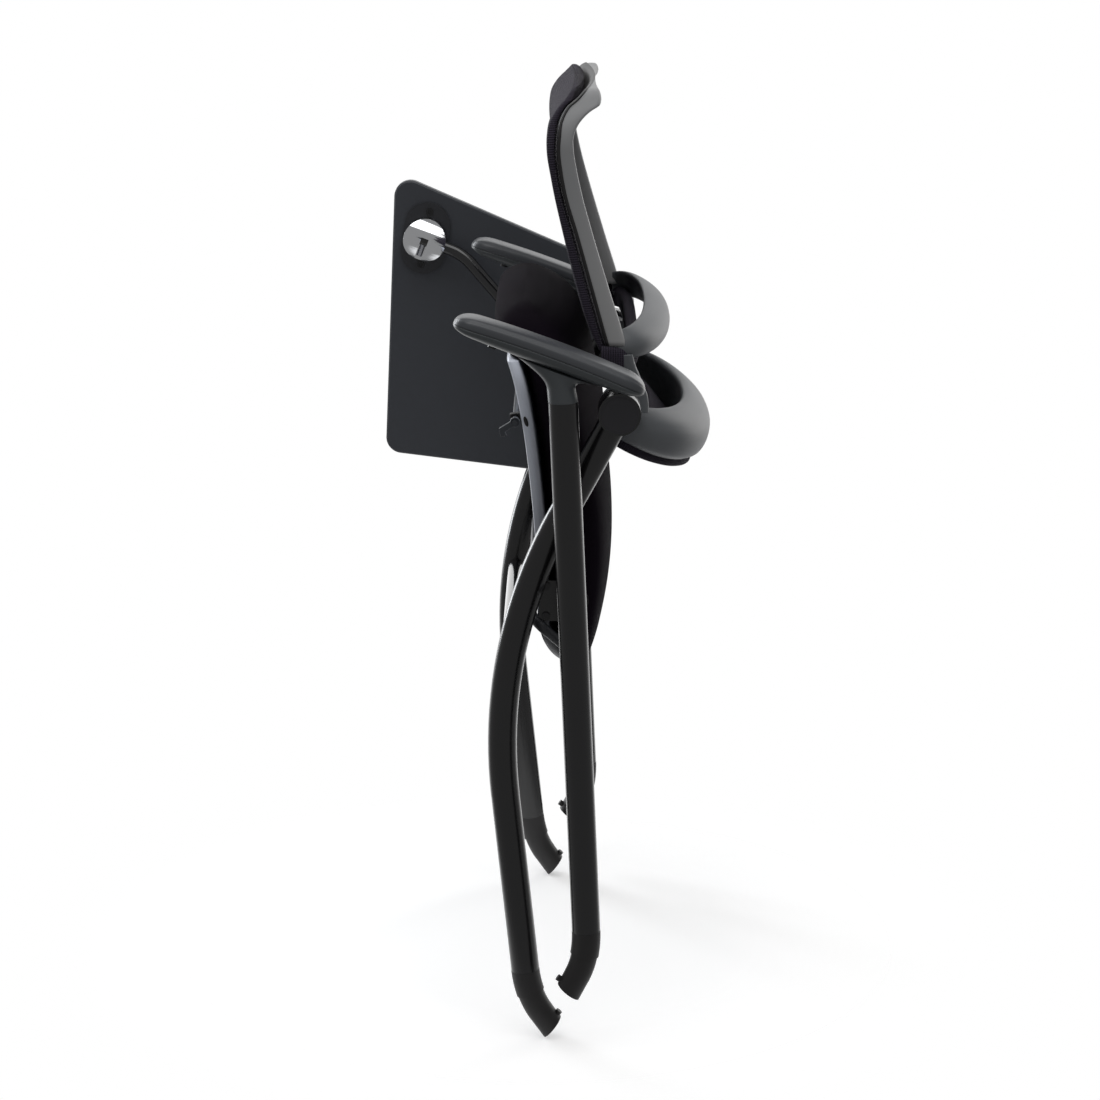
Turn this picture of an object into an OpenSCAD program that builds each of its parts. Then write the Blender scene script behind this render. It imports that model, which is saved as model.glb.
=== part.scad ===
// Folding and nesting chair with arms, a flexing back and a writing tablet.
// It is drawn folded, as it is pushed together with others, and faces -X.
// Sketch origin: the crossing pivot of the legs. The last step moves the
// origin to the middle of the overall box, on the floor.

/* [Legs] */
// Outer diameter of the leg tubes
leg_d = 30.4; // [27:0.2:33]
// Wall of the leg tubes
leg_wall = 2; // [1.5:0.1:3]
// Distance of a rear leg from the middle of the chair
rear_leg_y = 284; // [280:1:300]
// Free gap between a rear leg and the front leg beside it
leg_gap = 3.6; // [3:0.1:6]
// Length of a rear leg above the crossing pivot
rear_leg_above = 115; // [108:1:122]
// Length of a rear leg below the crossing pivot
rear_leg_below = 458; // [445:1:470]
// Length of a front leg tube above the crossing pivot
front_leg_above = 91; // [86:1:94]
// Distance from the crossing pivot to the hub of the back
hub_reach = 111.6; // [110:0.2:118]
// Straight part of a front leg between the crossing pivot and its bend
front_upper_run = 14; // [12:0.1:20]
// Bend radius of a front leg
front_bend_r = 527; // [500:1:550]
// Straight part of a front leg below its bend
front_lower_run = 200.2; // [190:0.2:210]
// Diameter of the cross tube between the front legs
cross_tube_d = 19; // [16:0.5:22]

/* [Feet] */
// Length of the elbow collar along its middle
collar_len = 27; // [22:0.5:32]
// Diameter of the moulded foot
foot_d = 28; // [26:0.2:29.4]
// Bend radius of the foot
foot_bend_r = 86; // [70:1:100]
// Straight part of a rear foot down to its sole
rear_foot_run = 19.5; // [16:0.5:26]
// Straight part of a front foot down to its sole
front_foot_run = 21; // [16:0.5:26]
// Diameter of the nub on the inner side of a foot
nub_d = 7; // [5:0.5:9]
// How far the nub stands out
nub_out = 5; // [3:0.5:8]

/* [Pivots] */
// Diameter of the crossing pivot stud
stud_d = 12; // [10:0.5:14]
// Diameter of the seat pivot pin
seat_pin_d = 12; // [10:0.5:14]
// Distance of the seat pivot below the crossing pivot, along the rear leg
seat_pin_drop = 110; // [106:1:114]
// Diameter of the spindle on which the back flexes
spindle_d = 16; // [14:0.5:18]
// Radial running clearance of the pivots
run_clear = 0.05; // [0.02:0.01:0.1]

/* [Hubs] */
// Outer diameter of the hub housing
hub_d = 44; // [42:0.5:46]
// Diameter of the hub cap
hub_cap_d = 40.2; // [38:0.2:41]
// Depth of the hub housing across the chair
hub_depth = 38; // [36:0.5:40]
// Thickness of the hub cap
hub_cap_t = 3.5; // [3:0.1:5]
// Outer diameter of the rubber bush in the hub
bush_d = 24; // [22:0.5:28]

/* [Arms] */
// Length of an arm pad
arm_len = 207; // [195:1:220]
// Width of an arm pad
arm_w = 50; // [44:1:54]
// Height of the arm pad above its seam
arm_pad_h = 13; // [11:0.5:16]
// Depth of the arm base below the seam
arm_base_h = 13; // [11:0.5:15]
// Distance of the arm middle line from the middle of the chair
arm_y = 275; // [272:1:285]
// Height of the arm tip above the crossing pivot
arm_tip_z = 199; // [195:1:205]
// Distance of the arm tip in front of the crossing pivot
arm_tip_x = 115; // [108:1:122]
// Width of the arm bracket below the arm
bracket_w = 40; // [34:1:46]

/* [Back] */
// Half width of the back frame
back_half_w = 213; // [205:1:220]
// Height of the upper back frame, which its side view follows
back_h = 300; // [285:1:315]
// Height of the lower end of the side rails above the crossing pivot
back_low = 160; // [157:1:165]
// Height of the top of the back above the crossing pivot
back_top = 416; // [412:1:422]
// Width of a side rail across the chair
rail_w = 14; // [12:0.5:18]
// Corner radius of the back frame at the top
back_corner_r = 72; // [60:1:85]
// Distance of the upper bow behind the crossing pivot
upper_bow_x = 97; // [92:1:104]
// Distance of the lower bow behind the crossing pivot
lower_bow_x = 141; // [136:1:146]
// Height of the lower bow above the crossing pivot, at its middle
lower_bow_z = 42; // [38:1:46]

/* [Seat] */
// Length of the seat
seat_len = 390; // [378:1:396]
// Half width of the seat
seat_half_w = 222.8; // [218:0.2:226]
// Thickness of the seat, which its side view follows
seat_t = 83; // [76:1:88]
// Corner radius of the seat in plan
seat_corner_r = 80; // [60:1:90]
// Thickness of the seat shell
shell_t = 13.5; // [10:0.5:16]

/* [Tablet] */
// Distance of the tablet rod from the middle of the chair
rod_y = 357; // [355:1:365]
// Diameter of the tablet rod
rod_d = 15; // [13:0.5:17]
// Diameter of the swivel drum
drum_d = 52; // [48:1:56]
// Distance of the drum in front of the crossing pivot
drum_x = 176.4; // [170:0.2:182]
// Height of the drum above the crossing pivot
drum_z = 189; // [184:1:194]
// Thickness of the tablet top
tablet_t = 12; // [10:0.5:15]
// Corner radius of the tablet top
tablet_corner_r = 20; // [14:1:28]
// Long diameter of the oval plate
oval_len = 88; // [80:1:94]
// Short diameter of the oval plate
oval_w = 56; // [53:1:60]

/* [Hidden] */
left = -1;
right = 1;

// Fineness of the true curves and of the drawn skins
$fn = 64;
hull_fn = 32;
skin_points = 20;
// One overrun for all cuts, how far a straight tube laps into its bend, and how
// much fuller a bend is, so that the two become one solid
over = 1;
lap = 0.6;
bend_full = 0.12;
seat_gap = 0.3;

// Leans from upright in degrees, top towards +X, folded
rear_lean = -2.5;
front_lean = 28.2;
front_bend = -34.2;
collar_turn = 12;
rear_foot_turn = 17.5;
front_foot_turn = 17.2;
rear_sole_lean = 37.2;
front_sole_lean = -51;

leg_r = leg_d / 2;
bore_r = leg_r - leg_wall;
foot_r = foot_d / 2;
plug_r = bore_r - 2 * run_clear;
plug_len = 15;
front_leg_y = rear_leg_y - leg_d - leg_gap;
collar_r = collar_len / (collar_turn * PI / 180);

// A place on a leg is [x, z, lean]. One step goes down along it, or round a bend.
function lower(p, run) = [p[0] - run * sin(p[2]), p[1] - run * cos(p[2]), p[2]];
function curve(p, r, turn) =
  let (chord = 2 * r * sin(abs(turn) / 2), way = p[2] + turn / 2)
  [p[0] - chord * sin(way), p[1] - chord * cos(way), p[2] + turn];

rear_top = lower([0, 0, rear_lean], -rear_leg_above);
rear_seam = lower([0, 0, rear_lean], rear_leg_below);
rear_ankle = curve(rear_seam, collar_r, collar_turn);
rear_toe = lower(curve(rear_ankle, foot_bend_r, rear_foot_turn), rear_foot_run);
seat_pin_at = lower([0, 0, rear_lean], seat_pin_drop);
hub_at = lower([0, 0, front_lean], -hub_reach);
front_knee = lower([0, 0, front_lean], front_upper_run);
front_shin = curve(front_knee, front_bend_r, front_bend);
front_seam = lower(front_shin, front_lower_run);
front_ankle = curve(front_seam, collar_r, -collar_turn);
front_toe = lower(curve(front_ankle, foot_bend_r, -front_foot_turn), front_foot_run);

// The lowest corner of the front soles stands on the floor
sole_reach = foot_r / cos(front_sole_lean - front_toe[2]);
pivot_z = sole_reach * sin(-front_sole_lean) - front_toe[1];

// The overall box, whose middle is the origin
tablet_front_x = drum_x + drum_d;
lower_bow_t = 33;
box_x = (lower_bow_x + lower_bow_t / 2 - tablet_front_x) / 2;
drum_len = 28;
drum_near_y = rod_y - drum_len / 2;
oval_t = 4;
tablet_near_y = drum_near_y + drum_len + oval_t;
box_y = (tablet_near_y + tablet_t - arm_y - arm_w / 2) / 2;

module chair_frame() { translate([-box_x, -box_y, pivot_z]) children(); }
module on_side(side) { chair_frame() mirror([0, side > 0 ? 1 : 0, 0]) children(); }
module at(p) { translate([p[0], 0, p[1]]) rotate([0, p[2], 0]) children(); }
module across(x, z, y, depth, r) {
  translate([x, y, z]) rotate([-90, 0, 0]) cylinder(h = depth, r = r);
}

// Solid rods that start at the origin and run down, straight or round a bend
module run_rod(run, r, up = 0) {
  translate([0, 0, -run]) cylinder(h = run + up, r = r);
}
module bend_rod(radius, turn, r) {
  mirror([turn < 0 ? 1 : 0, 0, 0]) translate([-radius, 0, 0]) rotate([-90, 0, 0])
    rotate_extrude(angle = abs(turn), $fn = 128) translate([radius, 0]) circle(r = r + bend_full);
}

// A skin through rings of equal point counts, closed at both ends
function ring_point(a, half_w, half_h, power) =
  [half_w * sign(cos(a)) * pow(abs(cos(a)), 2 / power),
   half_h * sign(sin(a)) * pow(abs(sin(a)), 2 / power)];
function flat(lists) = [for (one = lists) for (item = one) item];
module skin(rings) {
  m = len(rings[0]);
  last = (len(rings) - 1) * m;
  sides = flat([for (i = [0 : len(rings) - 2]) for (j = [0 : m - 1])
    let (a = i * m + j, b = i * m + (j + 1) % m)
    [[a, a + m, b + m], [a, b + m, b]]]);
  ends = flat([for (j = [1 : m - 2]) [[0, j, j + 1], [last, last + j + 1, last + j]]]);
  polyhedron(points = flat(rings), faces = concat(sides, ends));
}

// Crossing pivots, one stud on each side, with the spacer between the legs
spacer_r = stud_d;
head_t = 3.5;
head_r = 0.8 * stud_d;
module pivot_stud(side) {
  start = -rear_leg_y - plug_r + leg_wall;
  color("silver") on_side(side) {
    across(0, 0, start, rear_leg_y - front_leg_y + leg_r + plug_r, stud_d / 2);
    across(0, 0, -rear_leg_y + leg_r + run_clear, leg_gap - 2 * run_clear, spacer_r);
    across(0, 0, -front_leg_y + leg_r + run_clear, head_t, head_r);
  }
}

// Rear frame
bush_wall = 5;
module cross_bush(p, y, pin_r, from, depth) {
  intersection() {
    across(p[0], p[1], -y + from, depth, pin_r + bush_wall);
    translate([0, -y, 0]) at(p) translate([0, 0, -2 * leg_d])
      cylinder(h = 4 * leg_d, r = leg_r - leg_wall / 2);
  }
}
module rear_leg(side) {
  color("#232325") on_side(side) difference() {
    union() {
      translate([0, -rear_leg_y, 0]) at(rear_top) difference() {
        run_rod(rear_leg_above + rear_leg_below, leg_r);
        run_rod(rear_leg_above + rear_leg_below + over, bore_r, over);
      }
      cross_bush([0, 0, rear_lean], rear_leg_y, stud_d / 2, -leg_r, leg_d);
      cross_bush(seat_pin_at, rear_leg_y, seat_pin_d / 2, -leg_r, leg_d);
    }
    across(0, 0, -rear_leg_y - plug_r + leg_wall - run_clear, leg_d + plug_r, stud_d / 2 + run_clear);
    across(seat_pin_at[0], seat_pin_at[1], -rear_leg_y - plug_r + leg_wall - run_clear,
      leg_d + plug_r, seat_pin_d / 2 + run_clear);
  }
}
butt = 0.04;
module collar(start, side, y, turn) {
  way = sign(turn);
  color("#1c1a1b") on_side(side) translate([0, -y, 0]) difference() {
    at(curve(start, collar_r, way * butt)) bend_rod(collar_r, turn - 2 * way * butt, leg_r);
    at(start) {
      bend_rod(collar_r, turn + way, bore_r);
      run_rod(lap, bore_r, over);
    }
  }
}
module foot(start, side, y, turn_way, turn, run, sole_lean) {
  ankle = curve(start, collar_r, turn_way * collar_turn);
  arch = curve(ankle, foot_bend_r, turn_way * turn);
  toe = lower(arch, run);
  color("#1c1a1b") on_side(side) translate([0, -y, 0]) {
    difference() {
      union() {
        at(lower(start, -plug_len)) run_rod(plug_len + lap, plug_r);
        at(start) bend_rod(collar_r, turn_way * (collar_turn + over), plug_r);
        at(ankle) bend_rod(foot_bend_r, turn_way * turn, foot_r);
        at(arch) run_rod(run + foot_r, foot_r, lap);
      }
      at([toe[0], toe[1], sole_lean]) translate([-2 * foot_d, -2 * foot_d, -4 * foot_d])
        cube([4 * foot_d, 4 * foot_d, 4 * foot_d]);
    }
    at([toe[0], toe[1], sole_lean]) translate([0, 0, nub_d / 2 + leg_wall])
      rotate([0, -turn_way * 90, 0]) cylinder(h = foot_r + nub_out, r = nub_d / 2);
  }
}

// Arms: everything below the seam belongs to the base, above it to the pad
arm_slope = 20.3;
arm_camber = 4;
base_taper = 0.45;
arm_round = 24;
arm_stations = 14;
function arm_fill(s) =
  let (d = min(s, arm_len - s), q = 1 - min(d / arm_round, 1))
  pow(max(1 - pow(q, 2.3), 0.02), 1 / 2.3);
function arm_place(s, y, n) =
  let (lift = n - arm_camber * pow(2 * s / arm_len - 1, 2))
  [-arm_tip_x + s * cos(arm_slope) + lift * sin(arm_slope), y,
   arm_tip_z - s * sin(arm_slope) + lift * cos(arm_slope)];
function arm_s(i) = arm_len * (1 - cos(180 * i / arm_stations)) / 2;
function arm_low(s) = arm_base_h * (1 - base_taper * pow(2 * s / arm_len - 1, 2));
arm_half_points = skin_points / 2;
module arm_pad(side) {
  color("#505659") on_side(side) skin([for (i = [0 : arm_stations])
    let (s = arm_s(i), k = arm_fill(s))
    [for (j = [0 : arm_half_points])
      let (q = ring_point(180 * j / arm_half_points, k * arm_w / 2, k * arm_pad_h, 2.8))
      arm_place(s, -arm_y + q[0], q[1])]]);
}
module arm_base(side) {
  color("#2e3134") on_side(side) skin([for (i = [0 : arm_stations])
    let (s = arm_s(i), k = arm_fill(s))
    [for (j = [0 : arm_half_points])
      let (low = k * arm_low(s), q = ring_point(-180 * j / arm_half_points, -k * arm_w / 2, low, 2.6))
      arm_place(s, -arm_y + q[0], q[1] - run_clear)]]);
}
// Cast tee: round at the tube, then spreading into a long oval under the arm base
bracket_steps = 12;
bracket_front = 48;
bracket_rear = 44;
module arm_bracket(side) {
  top_s = (arm_tip_x + rear_top[0]) / cos(arm_slope);
  foot_z = rear_top[1] + run_clear;
  head = arm_place(top_s, -arm_y, -arm_base_h - 2 * run_clear);
  color("#4a4f52") on_side(side) {
    skin([for (i = [0 : bracket_steps])
      let (f = i / bracket_steps,
        spread = pow(max(f - 0.35, 0) / 0.65, 2.4),
        front = leg_r + (bracket_front - leg_r) * spread,
        rear = leg_r + (bracket_rear - leg_r) * pow(spread, 1.6),
        half_y = leg_r + (bracket_w / 2 - leg_r) * f,
        tilt = rear_lean + (arm_slope - rear_lean) * pow(f, 0.8),
        mid_x = rear_top[0] + (head[0] - rear_top[0]) * f,
        mid_y = -rear_leg_y + (rear_leg_y - arm_y) * f,
        mid_z = foot_z + (head[2] - foot_z) * f)
      [for (j = [0 : skin_points - 1])
        let (a = 360 * j / skin_points, q = ring_point(a, 1, half_y, 2),
          x = q[0] * (q[0] < 0 ? front : rear))
        [mid_x + x * cos(tilt), mid_y + q[1], mid_z - x * sin(tilt)]]]);
    translate([0, -rear_leg_y, 0]) at(rear_top) run_rod(plug_len, plug_r, leg_wall);
  }
}
screw_r = 2.5;
screw_head_r = 4.5;
screw_head_t = 2.6;
arm_screw_shares = [0.22, 0.86];
module arm_screws() {
  color("#55585a") for (side = [left, right], share = arm_screw_shares) on_side(side)
    let (p = arm_place(share * arm_len, -arm_y, -arm_low(share * arm_len) - 2 * run_clear))
    translate(p) rotate([0, arm_slope, 0]) {
      translate([0, 0, -screw_head_t - 2 * run_clear]) cylinder(h = screw_head_t, r = screw_head_r);
    }
}
module seat_pin(side) {
  tip = seat_half_w + bracket_gap + seat_bracket_t;
  color("silver") on_side(side) {
    across(seat_pin_at[0], seat_pin_at[1], -rear_leg_y - plug_r + leg_wall,
      rear_leg_y + plug_r - leg_wall - seat_half_w - bracket_gap, seat_pin_d / 2);
    across(seat_pin_at[0], seat_pin_at[1], -tip - leg_wall - run_clear, leg_wall, seat_pin_d / 2 + leg_wall);
  }
}

// Front frame
module front_leg_rod(r, past) {
  at(lower([0, 0, front_lean], -front_leg_above))
    run_rod(front_leg_above + front_upper_run + lap, r, past);
  at(front_knee) bend_rod(front_bend_r, front_bend, r);
  at(front_shin) run_rod(front_lower_run + past, r, lap);
}
module front_leg(side) {
  color("#232325") on_side(side) difference() {
    union() {
      translate([0, -front_leg_y, 0]) difference() {
        front_leg_rod(leg_r, 0);
        front_leg_rod(bore_r, over);
      }
      cross_bush([0, 0, front_lean], front_leg_y, stud_d / 2, -leg_r, leg_d);
    }
    across(0, 0, -front_leg_y - leg_d, 2 * leg_d, stud_d / 2 + run_clear);
  }
}
// The cross tube ends against the inner faces of the front legs
cross_tube_rear = 1.2;
cross_tube_at = curve(front_knee, front_bend_r, 0.603 * front_bend) + [cross_tube_rear, 0, 0];
module front_cross_tube() {
  half = front_leg_y - leg_r + leg_wall / 2;
  color("#0d0d0f") chair_frame() difference() {
    across(cross_tube_at[0], cross_tube_at[1], -half, 2 * half, cross_tube_d / 2);
    for (side = [left, right]) mirror([0, side > 0 ? 1 : 0, 0])
      translate([0, -front_leg_y, 0]) at(front_knee)
        bend_rod(front_bend_r, front_bend, leg_r + run_clear);
  }
}
hub_near = front_leg_y + hub_depth / 2;
neck_flare = 2;
module hub(side) {
  color("#232325") on_side(side) difference() {
    union() {
      difference() {
        union() {
          across(hub_at[0], hub_at[1], -hub_near, hub_depth, hub_d / 2);
          translate([0, -front_leg_y, 0]) at(hub_at) translate([0, 0, front_leg_above - hub_reach])
            cylinder(h = hub_reach - front_leg_above, r1 = leg_r, r2 = leg_r + neck_flare);
        }
        translate([0, -front_leg_y, 0]) at(lower(hub_at, hub_reach - front_leg_above - run_clear))
          run_rod(hub_reach, leg_r + bend_full);
      }
      translate([0, -front_leg_y, 0]) at(lower(hub_at, hub_reach - front_leg_above))
        run_rod(plug_len, plug_r, leg_wall);
    }
    across(hub_at[0], hub_at[1], -hub_near - over, hub_cap_t + over, hub_cap_d / 2 + run_clear);
    across(hub_at[0], hub_at[1], -hub_near + 2 * hub_cap_t, hub_depth, bush_d / 2);
  }
}
module hub_cap(side) {
  color("#2a2830") on_side(side) {
    across(hub_at[0], hub_at[1], -hub_near, hub_cap_t, hub_cap_d / 2);
    across(hub_at[0], hub_at[1], -hub_near - run_clear * 10, run_clear * 10, hub_cap_d / 2 - leg_wall);
  }
}
module hub_bush(side) {
  color("#151515") on_side(side) difference() {
    across(hub_at[0], hub_at[1], -hub_near + 2 * hub_cap_t, hub_depth - 2 * hub_cap_t, bush_d / 2);
    across(hub_at[0], hub_at[1], -hub_near, hub_depth + over, spindle_d / 2 + run_clear);
  }
}

// Back: spindle with its boss, side link, rails with the head rail, two bows
boss_r = 19;
link_out = 214;
boss_near = hub_near - hub_depth - run_clear * 4;
link_in = link_out - rail_w;
module hub_spindle(side) {
  color("#585f64") on_side(side) {
    across(hub_at[0], hub_at[1], -hub_near + 2 * hub_cap_t + over, hub_depth - 2 * hub_cap_t, spindle_d / 2);
    across(hub_at[0], hub_at[1], -boss_near, boss_near - link_in, boss_r);
  }
}
// Side view of the link: [x, z, depth] in shares of the hub reach, from the rail down to the hub
link_shares = [
  [0.501, 1.4325, 0.282], [0.533, 1.38, 0.314], [0.5645, 1.326, 0.305], [0.575, 1.281, 0.255],
  [0.5735, 1.219, 0.152], [0.596, 1.156, 0.118], [0.636, 1.066, 0.125], [0.654, 0.995, 0.145],
  [0.638, 0.978, 0.18]];
module back_link(side) {
  color("#585f64") on_side(side) difference() {
    skin([for (i = [len(link_shares) - 1 : -1 : 0])
      let (p = link_shares[i] * hub_reach)
      [for (j = [0 : skin_points - 1])
        let (q = ring_point(360 * j / skin_points, p[2] / 2, rail_w / 2, 4))
        [p[0] + q[0], -link_out + rail_w / 2 + q[1], p[1]]]]);
    across(hub_at[0], hub_at[1], -link_out - over, rail_w + 2 * over, boss_r + run_clear);
  }
}
// Side view of the back: [height, front, rear] in shares of the back height
back_base = 150;
back_shares = [
  [0, 0.142, 0.208], [0.033, 0.132, 0.2], [0.237, 0.075, 0.138], [0.423, 0.023, 0.082],
  [0.547, -0.014, 0.048], [0.643, -0.032, 0.027], [0.7, -0.038, 0.018], [0.755, -0.035, 0.019],
  [0.8, -0.031, 0.043], [0.833, -0.018, 0.083], [0.85, -0.007, 0.113], [0.863, 0.01, 0.12],
  [0.9, 0.04, 0.122], [1, 0.07, 0.124]];
rail_front_shares = [for (row = back_shares) [row[0], row[1]]];
rail_rear_shares = [for (row = back_shares) [row[0], row[2]]];
function share_of(z) = (z - back_base) / back_h;
function rail_front(z) = back_h * lookup(share_of(z), rail_front_shares);
function rail_rear(z) = back_h * lookup(share_of(z), rail_rear_shares);
head_sag = 6;
// The middle of the head rail is let in at the rear, which leaves a horn at each corner
head_let_in = 8.5;
head_hold = 160;
function let_in(y) = head_let_in * (1 - pow(min(abs(y) / head_hold, 1), 8));
rail_steps = 9;
corner_steps = 7;
head_steps = 3;
rail_mid = back_half_w - rail_w / 2;
corner_in = back_corner_r - rail_w / 2;
head_z = back_top - rail_w / 2;
// Half of the path: [y, z, lean of the outward side], from the rail foot to the middle of the head
half_path = concat(
  [for (i = [0 : rail_steps]) [-rail_mid,
    back_low + (head_z - corner_in - back_low) * i / (rail_steps + 1), 0]],
  [for (i = [0 : corner_steps]) let (a = 90 * i / corner_steps)
    [-rail_mid + corner_in * (1 - cos(a)), head_z - corner_in * (1 - sin(a)), a]],
  [for (i = [1 : head_steps]) [-(rail_mid - corner_in) * (1 - i / head_steps), head_z, 90]]);
path_len = len(half_path);
full_path = concat(half_path, [for (i = [path_len - 2 : -1 : 0])
  [-half_path[i][0], half_path[i][1], 180 - half_path[i][2]]]);
module back_frame() {
  color("#696c6c") chair_frame() skin([for (p = full_path)
    let (dish = head_sag * (1 - pow(p[0] / rail_mid, 2)) * sin(p[2]),
      front = rail_front(p[1]) + dish, rear = rail_rear(p[1]) - let_in(p[0]),
      half_x = (rear - front) / 2, half_o = rail_w / 2 * (1 + 0.6 * sin(p[2])))
    [for (j = [0 : skin_points - 1])
      let (q = ring_point(360 * j / skin_points, half_x, half_o, 3.4))
      [(front + rear) / 2 + q[0], p[0] + q[1] * cos(p[2]), p[1] - q[1] * sin(p[2])]]]);
}
// A bow is a U in plan. Its section is drawn in shares [outward, up].
bow_steps = 30;
function bow_reach(a, reach, power) = reach * pow(max(cos(a), 0), 2 / power);
function bow_side(a, half_y, power) = half_y * sign(sin(a)) * pow(abs(sin(a)), 2 / power);
function bow_out(a, half_y, reach, power) =
  let (n = [pow(max(cos(a), 0), 2 - 2 / power) / reach,
    sign(sin(a)) * pow(abs(sin(a)), 2 - 2 / power) / half_y])
  n / norm(n);
module bow(half_y, near, middle, thick, high, power, section) {
  reach = middle[0] - near[0];
  skin([for (i = [0 : bow_steps])
    let (a = 90 * sin(-90 + 180 * i / bow_steps), c = pow(max(cos(a), 0), 0.8),
      out = bow_out(a, half_y, reach, power),
      t = thick[0] + (thick[1] - thick[0]) * c, h = high[0] + (high[1] - high[0]) * c,
      z = near[1] + (middle[1] - near[1]) * bow_reach(a, reach, power) / reach)
    [for (q = section)
      [near[0] + bow_reach(a, reach, power) + q[0] * t * out[0],
       bow_side(a, half_y, power) + q[0] * t * out[1], z + q[1] * h]]]);
}
upper_bow_z = 163;
upper_bow_t = 28;
upper_bow_near_x = 66;
upper_bow_h = 34;
upper_section_shares = [
  [-0.3, -0.05], [-0.42, 0.15], [-0.52, 0.36], [-0.5, 0.5], [-0.32, 0.5], [-0.08, 0.42],
  [0.18, 0.29], [0.38, 0.14], [0.5, -0.04], [0.5, -0.2], [0.44, -0.35], [0.3, -0.48],
  [0.12, -0.52], [-0.02, -0.44], [-0.12, -0.32], [-0.21, -0.19]];
module upper_bow() {
  half = link_in - upper_bow_t / 4 - seat_gap;
  color("#585f64") chair_frame() bow(half, [upper_bow_near_x, upper_bow_z - head_sag],
    [upper_bow_x, upper_bow_z], [upper_bow_t / 2, upper_bow_t], [0.85 * upper_bow_h, upper_bow_h], 2.2,
    upper_section_shares);
}
lower_bow_h = 58;
lower_bow_near_x = hub_at[0] + leg_wall;
lower_bow_near_z = hub_at[1] - 4 * head_sag;
lower_bow_power = 2.2;
lower_section_shares = [
  [-0.35, 0.02], [-0.4, 0.2], [-0.46, 0.38], [-0.48, 0.5], [-0.38, 0.56], [-0.2, 0.55],
  [0.05, 0.45], [0.3, 0.3], [0.44, 0.15], [0.5, 0], [0.46, -0.19], [0.35, -0.35],
  [0.2, -0.46], [0.04, -0.5], [-0.12, -0.52], [-0.25, -0.5], [-0.33, -0.36], [-0.34, -0.16]];
module lower_bow() {
  half = link_in - lower_bow_t / 4 - run_clear;
  color("#585f64") chair_frame() bow(half, [lower_bow_near_x, lower_bow_near_z],
    [lower_bow_x, lower_bow_z], [lower_bow_t / 2, lower_bow_t], [lower_bow_h * 0.6, lower_bow_h],
    lower_bow_power, lower_section_shares);
}
// Ribbed knit pad in front of the rails, fullest at the head roll. Its front face is
// given by [height, front] in shares of the back height.
pad_front_shares = [
  [0, 0.108], [0.09, 0.064], [0.243, 0.015], [0.392, -0.021], [0.603, -0.066], [0.703, -0.082],
  [0.753, -0.082], [0.793, -0.075], [0.827, -0.057], [0.86, -0.03], [0.887, -0.006], [1, 0.03]];
pad_steps = 18;
pad_round = 6;
pad_clear = 0.3;
pad_half_w = back_half_w - 2;
pad_bottom = back_low - head_sag;
pad_top = back_top + 2 * leg_wall;
pad_hollow = 5.5;
// Above the neck the pad keeps in front of the rail, which widens to both sides of its path
back_neck = back_base + 0.7 * back_h;
pad_step_back = 9;
module back_knit_pad() {
  color("#26212a") chair_frame() skin([for (i = [0 : pad_steps])
    let (f = i < pad_steps - pad_round ? 0.84 * i / (pad_steps - pad_round)
        : 0.84 + 0.16 * sin(90 * (i - pad_steps + pad_round) / pad_round),
      z = pad_bottom + (pad_top - pad_bottom) * f,
      rise = max(z - (pad_top - back_corner_r), 0),
      half_y = pad_half_w - back_corner_r + sqrt(max(pow(back_corner_r, 2) - pow(rise, 2), pow(over, 2))),
      level = z < back_neck ? z : max(back_neck, min(z - pad_step_back, head_z)),
      rear = rail_front(level) - pad_clear,
      front = min(back_h * lookup(share_of(z), pad_front_shares), rear - leg_wall),
      t = rear - front,
      hollow = pad_hollow * (f < 0.35 ? sin(180 * f / 0.7) : 1))
    [for (j = [0 : 2 * skin_points - 1])
      let (a = 360 * j / (2 * skin_points), q = ring_point(a, half_y, t / 2, a > 180 ? 16 : 5),
        in = 1 - pow(q[0] / (f < 0.35 ? half_y : rail_mid), 2))
      [rear - t / 2 - q[1] + hollow * in, q[0], z]]]);
}
// Cover of the lumbar ring: a thin dished pad that hangs inside the lower bow
cover_t = 7;
cover_steps = 18;
cover_in = 5;
cover_drop = 9;
cover_rise = 24;
cover_slant = 28;
module lumbar_cover() {
  reach = lower_bow_x - lower_bow_near_x;
  half = 0.95 * (link_in - lower_bow_t / 4);
  color("#26212a") chair_frame() skin([for (i = [0 : cover_steps])
    let (a = 90 * sin(-90 + 180 * i / cover_steps), go = bow_reach(a, reach, lower_bow_power),
      bow_z = lower_bow_near_z + (lower_bow_z - lower_bow_near_z) * go / reach,
      h = lower_bow_h * (0.6 + 0.4 * pow(cos(a), 0.8)),
      low = [lower_bow_near_x + go - cover_in, bow_z - h / 2 - cover_drop],
      top = [lower_bow_near_x + 0.46 * go + leg_wall, bow_z - cover_rise + cover_slant * go / reach],
      way = low - top, run = norm(way), ux = way / run, un = [-ux[1], ux[0]], mid = (top + low) / 2)
    [for (j = [0 : skin_points - 1])
      let (q = ring_point(360 * j / skin_points, run / 2, cover_t / 2, 5))
      [mid[0] + q[0] * ux[0] + q[1] * un[0], bow_side(a, half, lower_bow_power),
       mid[1] + q[0] * ux[1] + q[1] * un[1]]]]);
}

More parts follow.
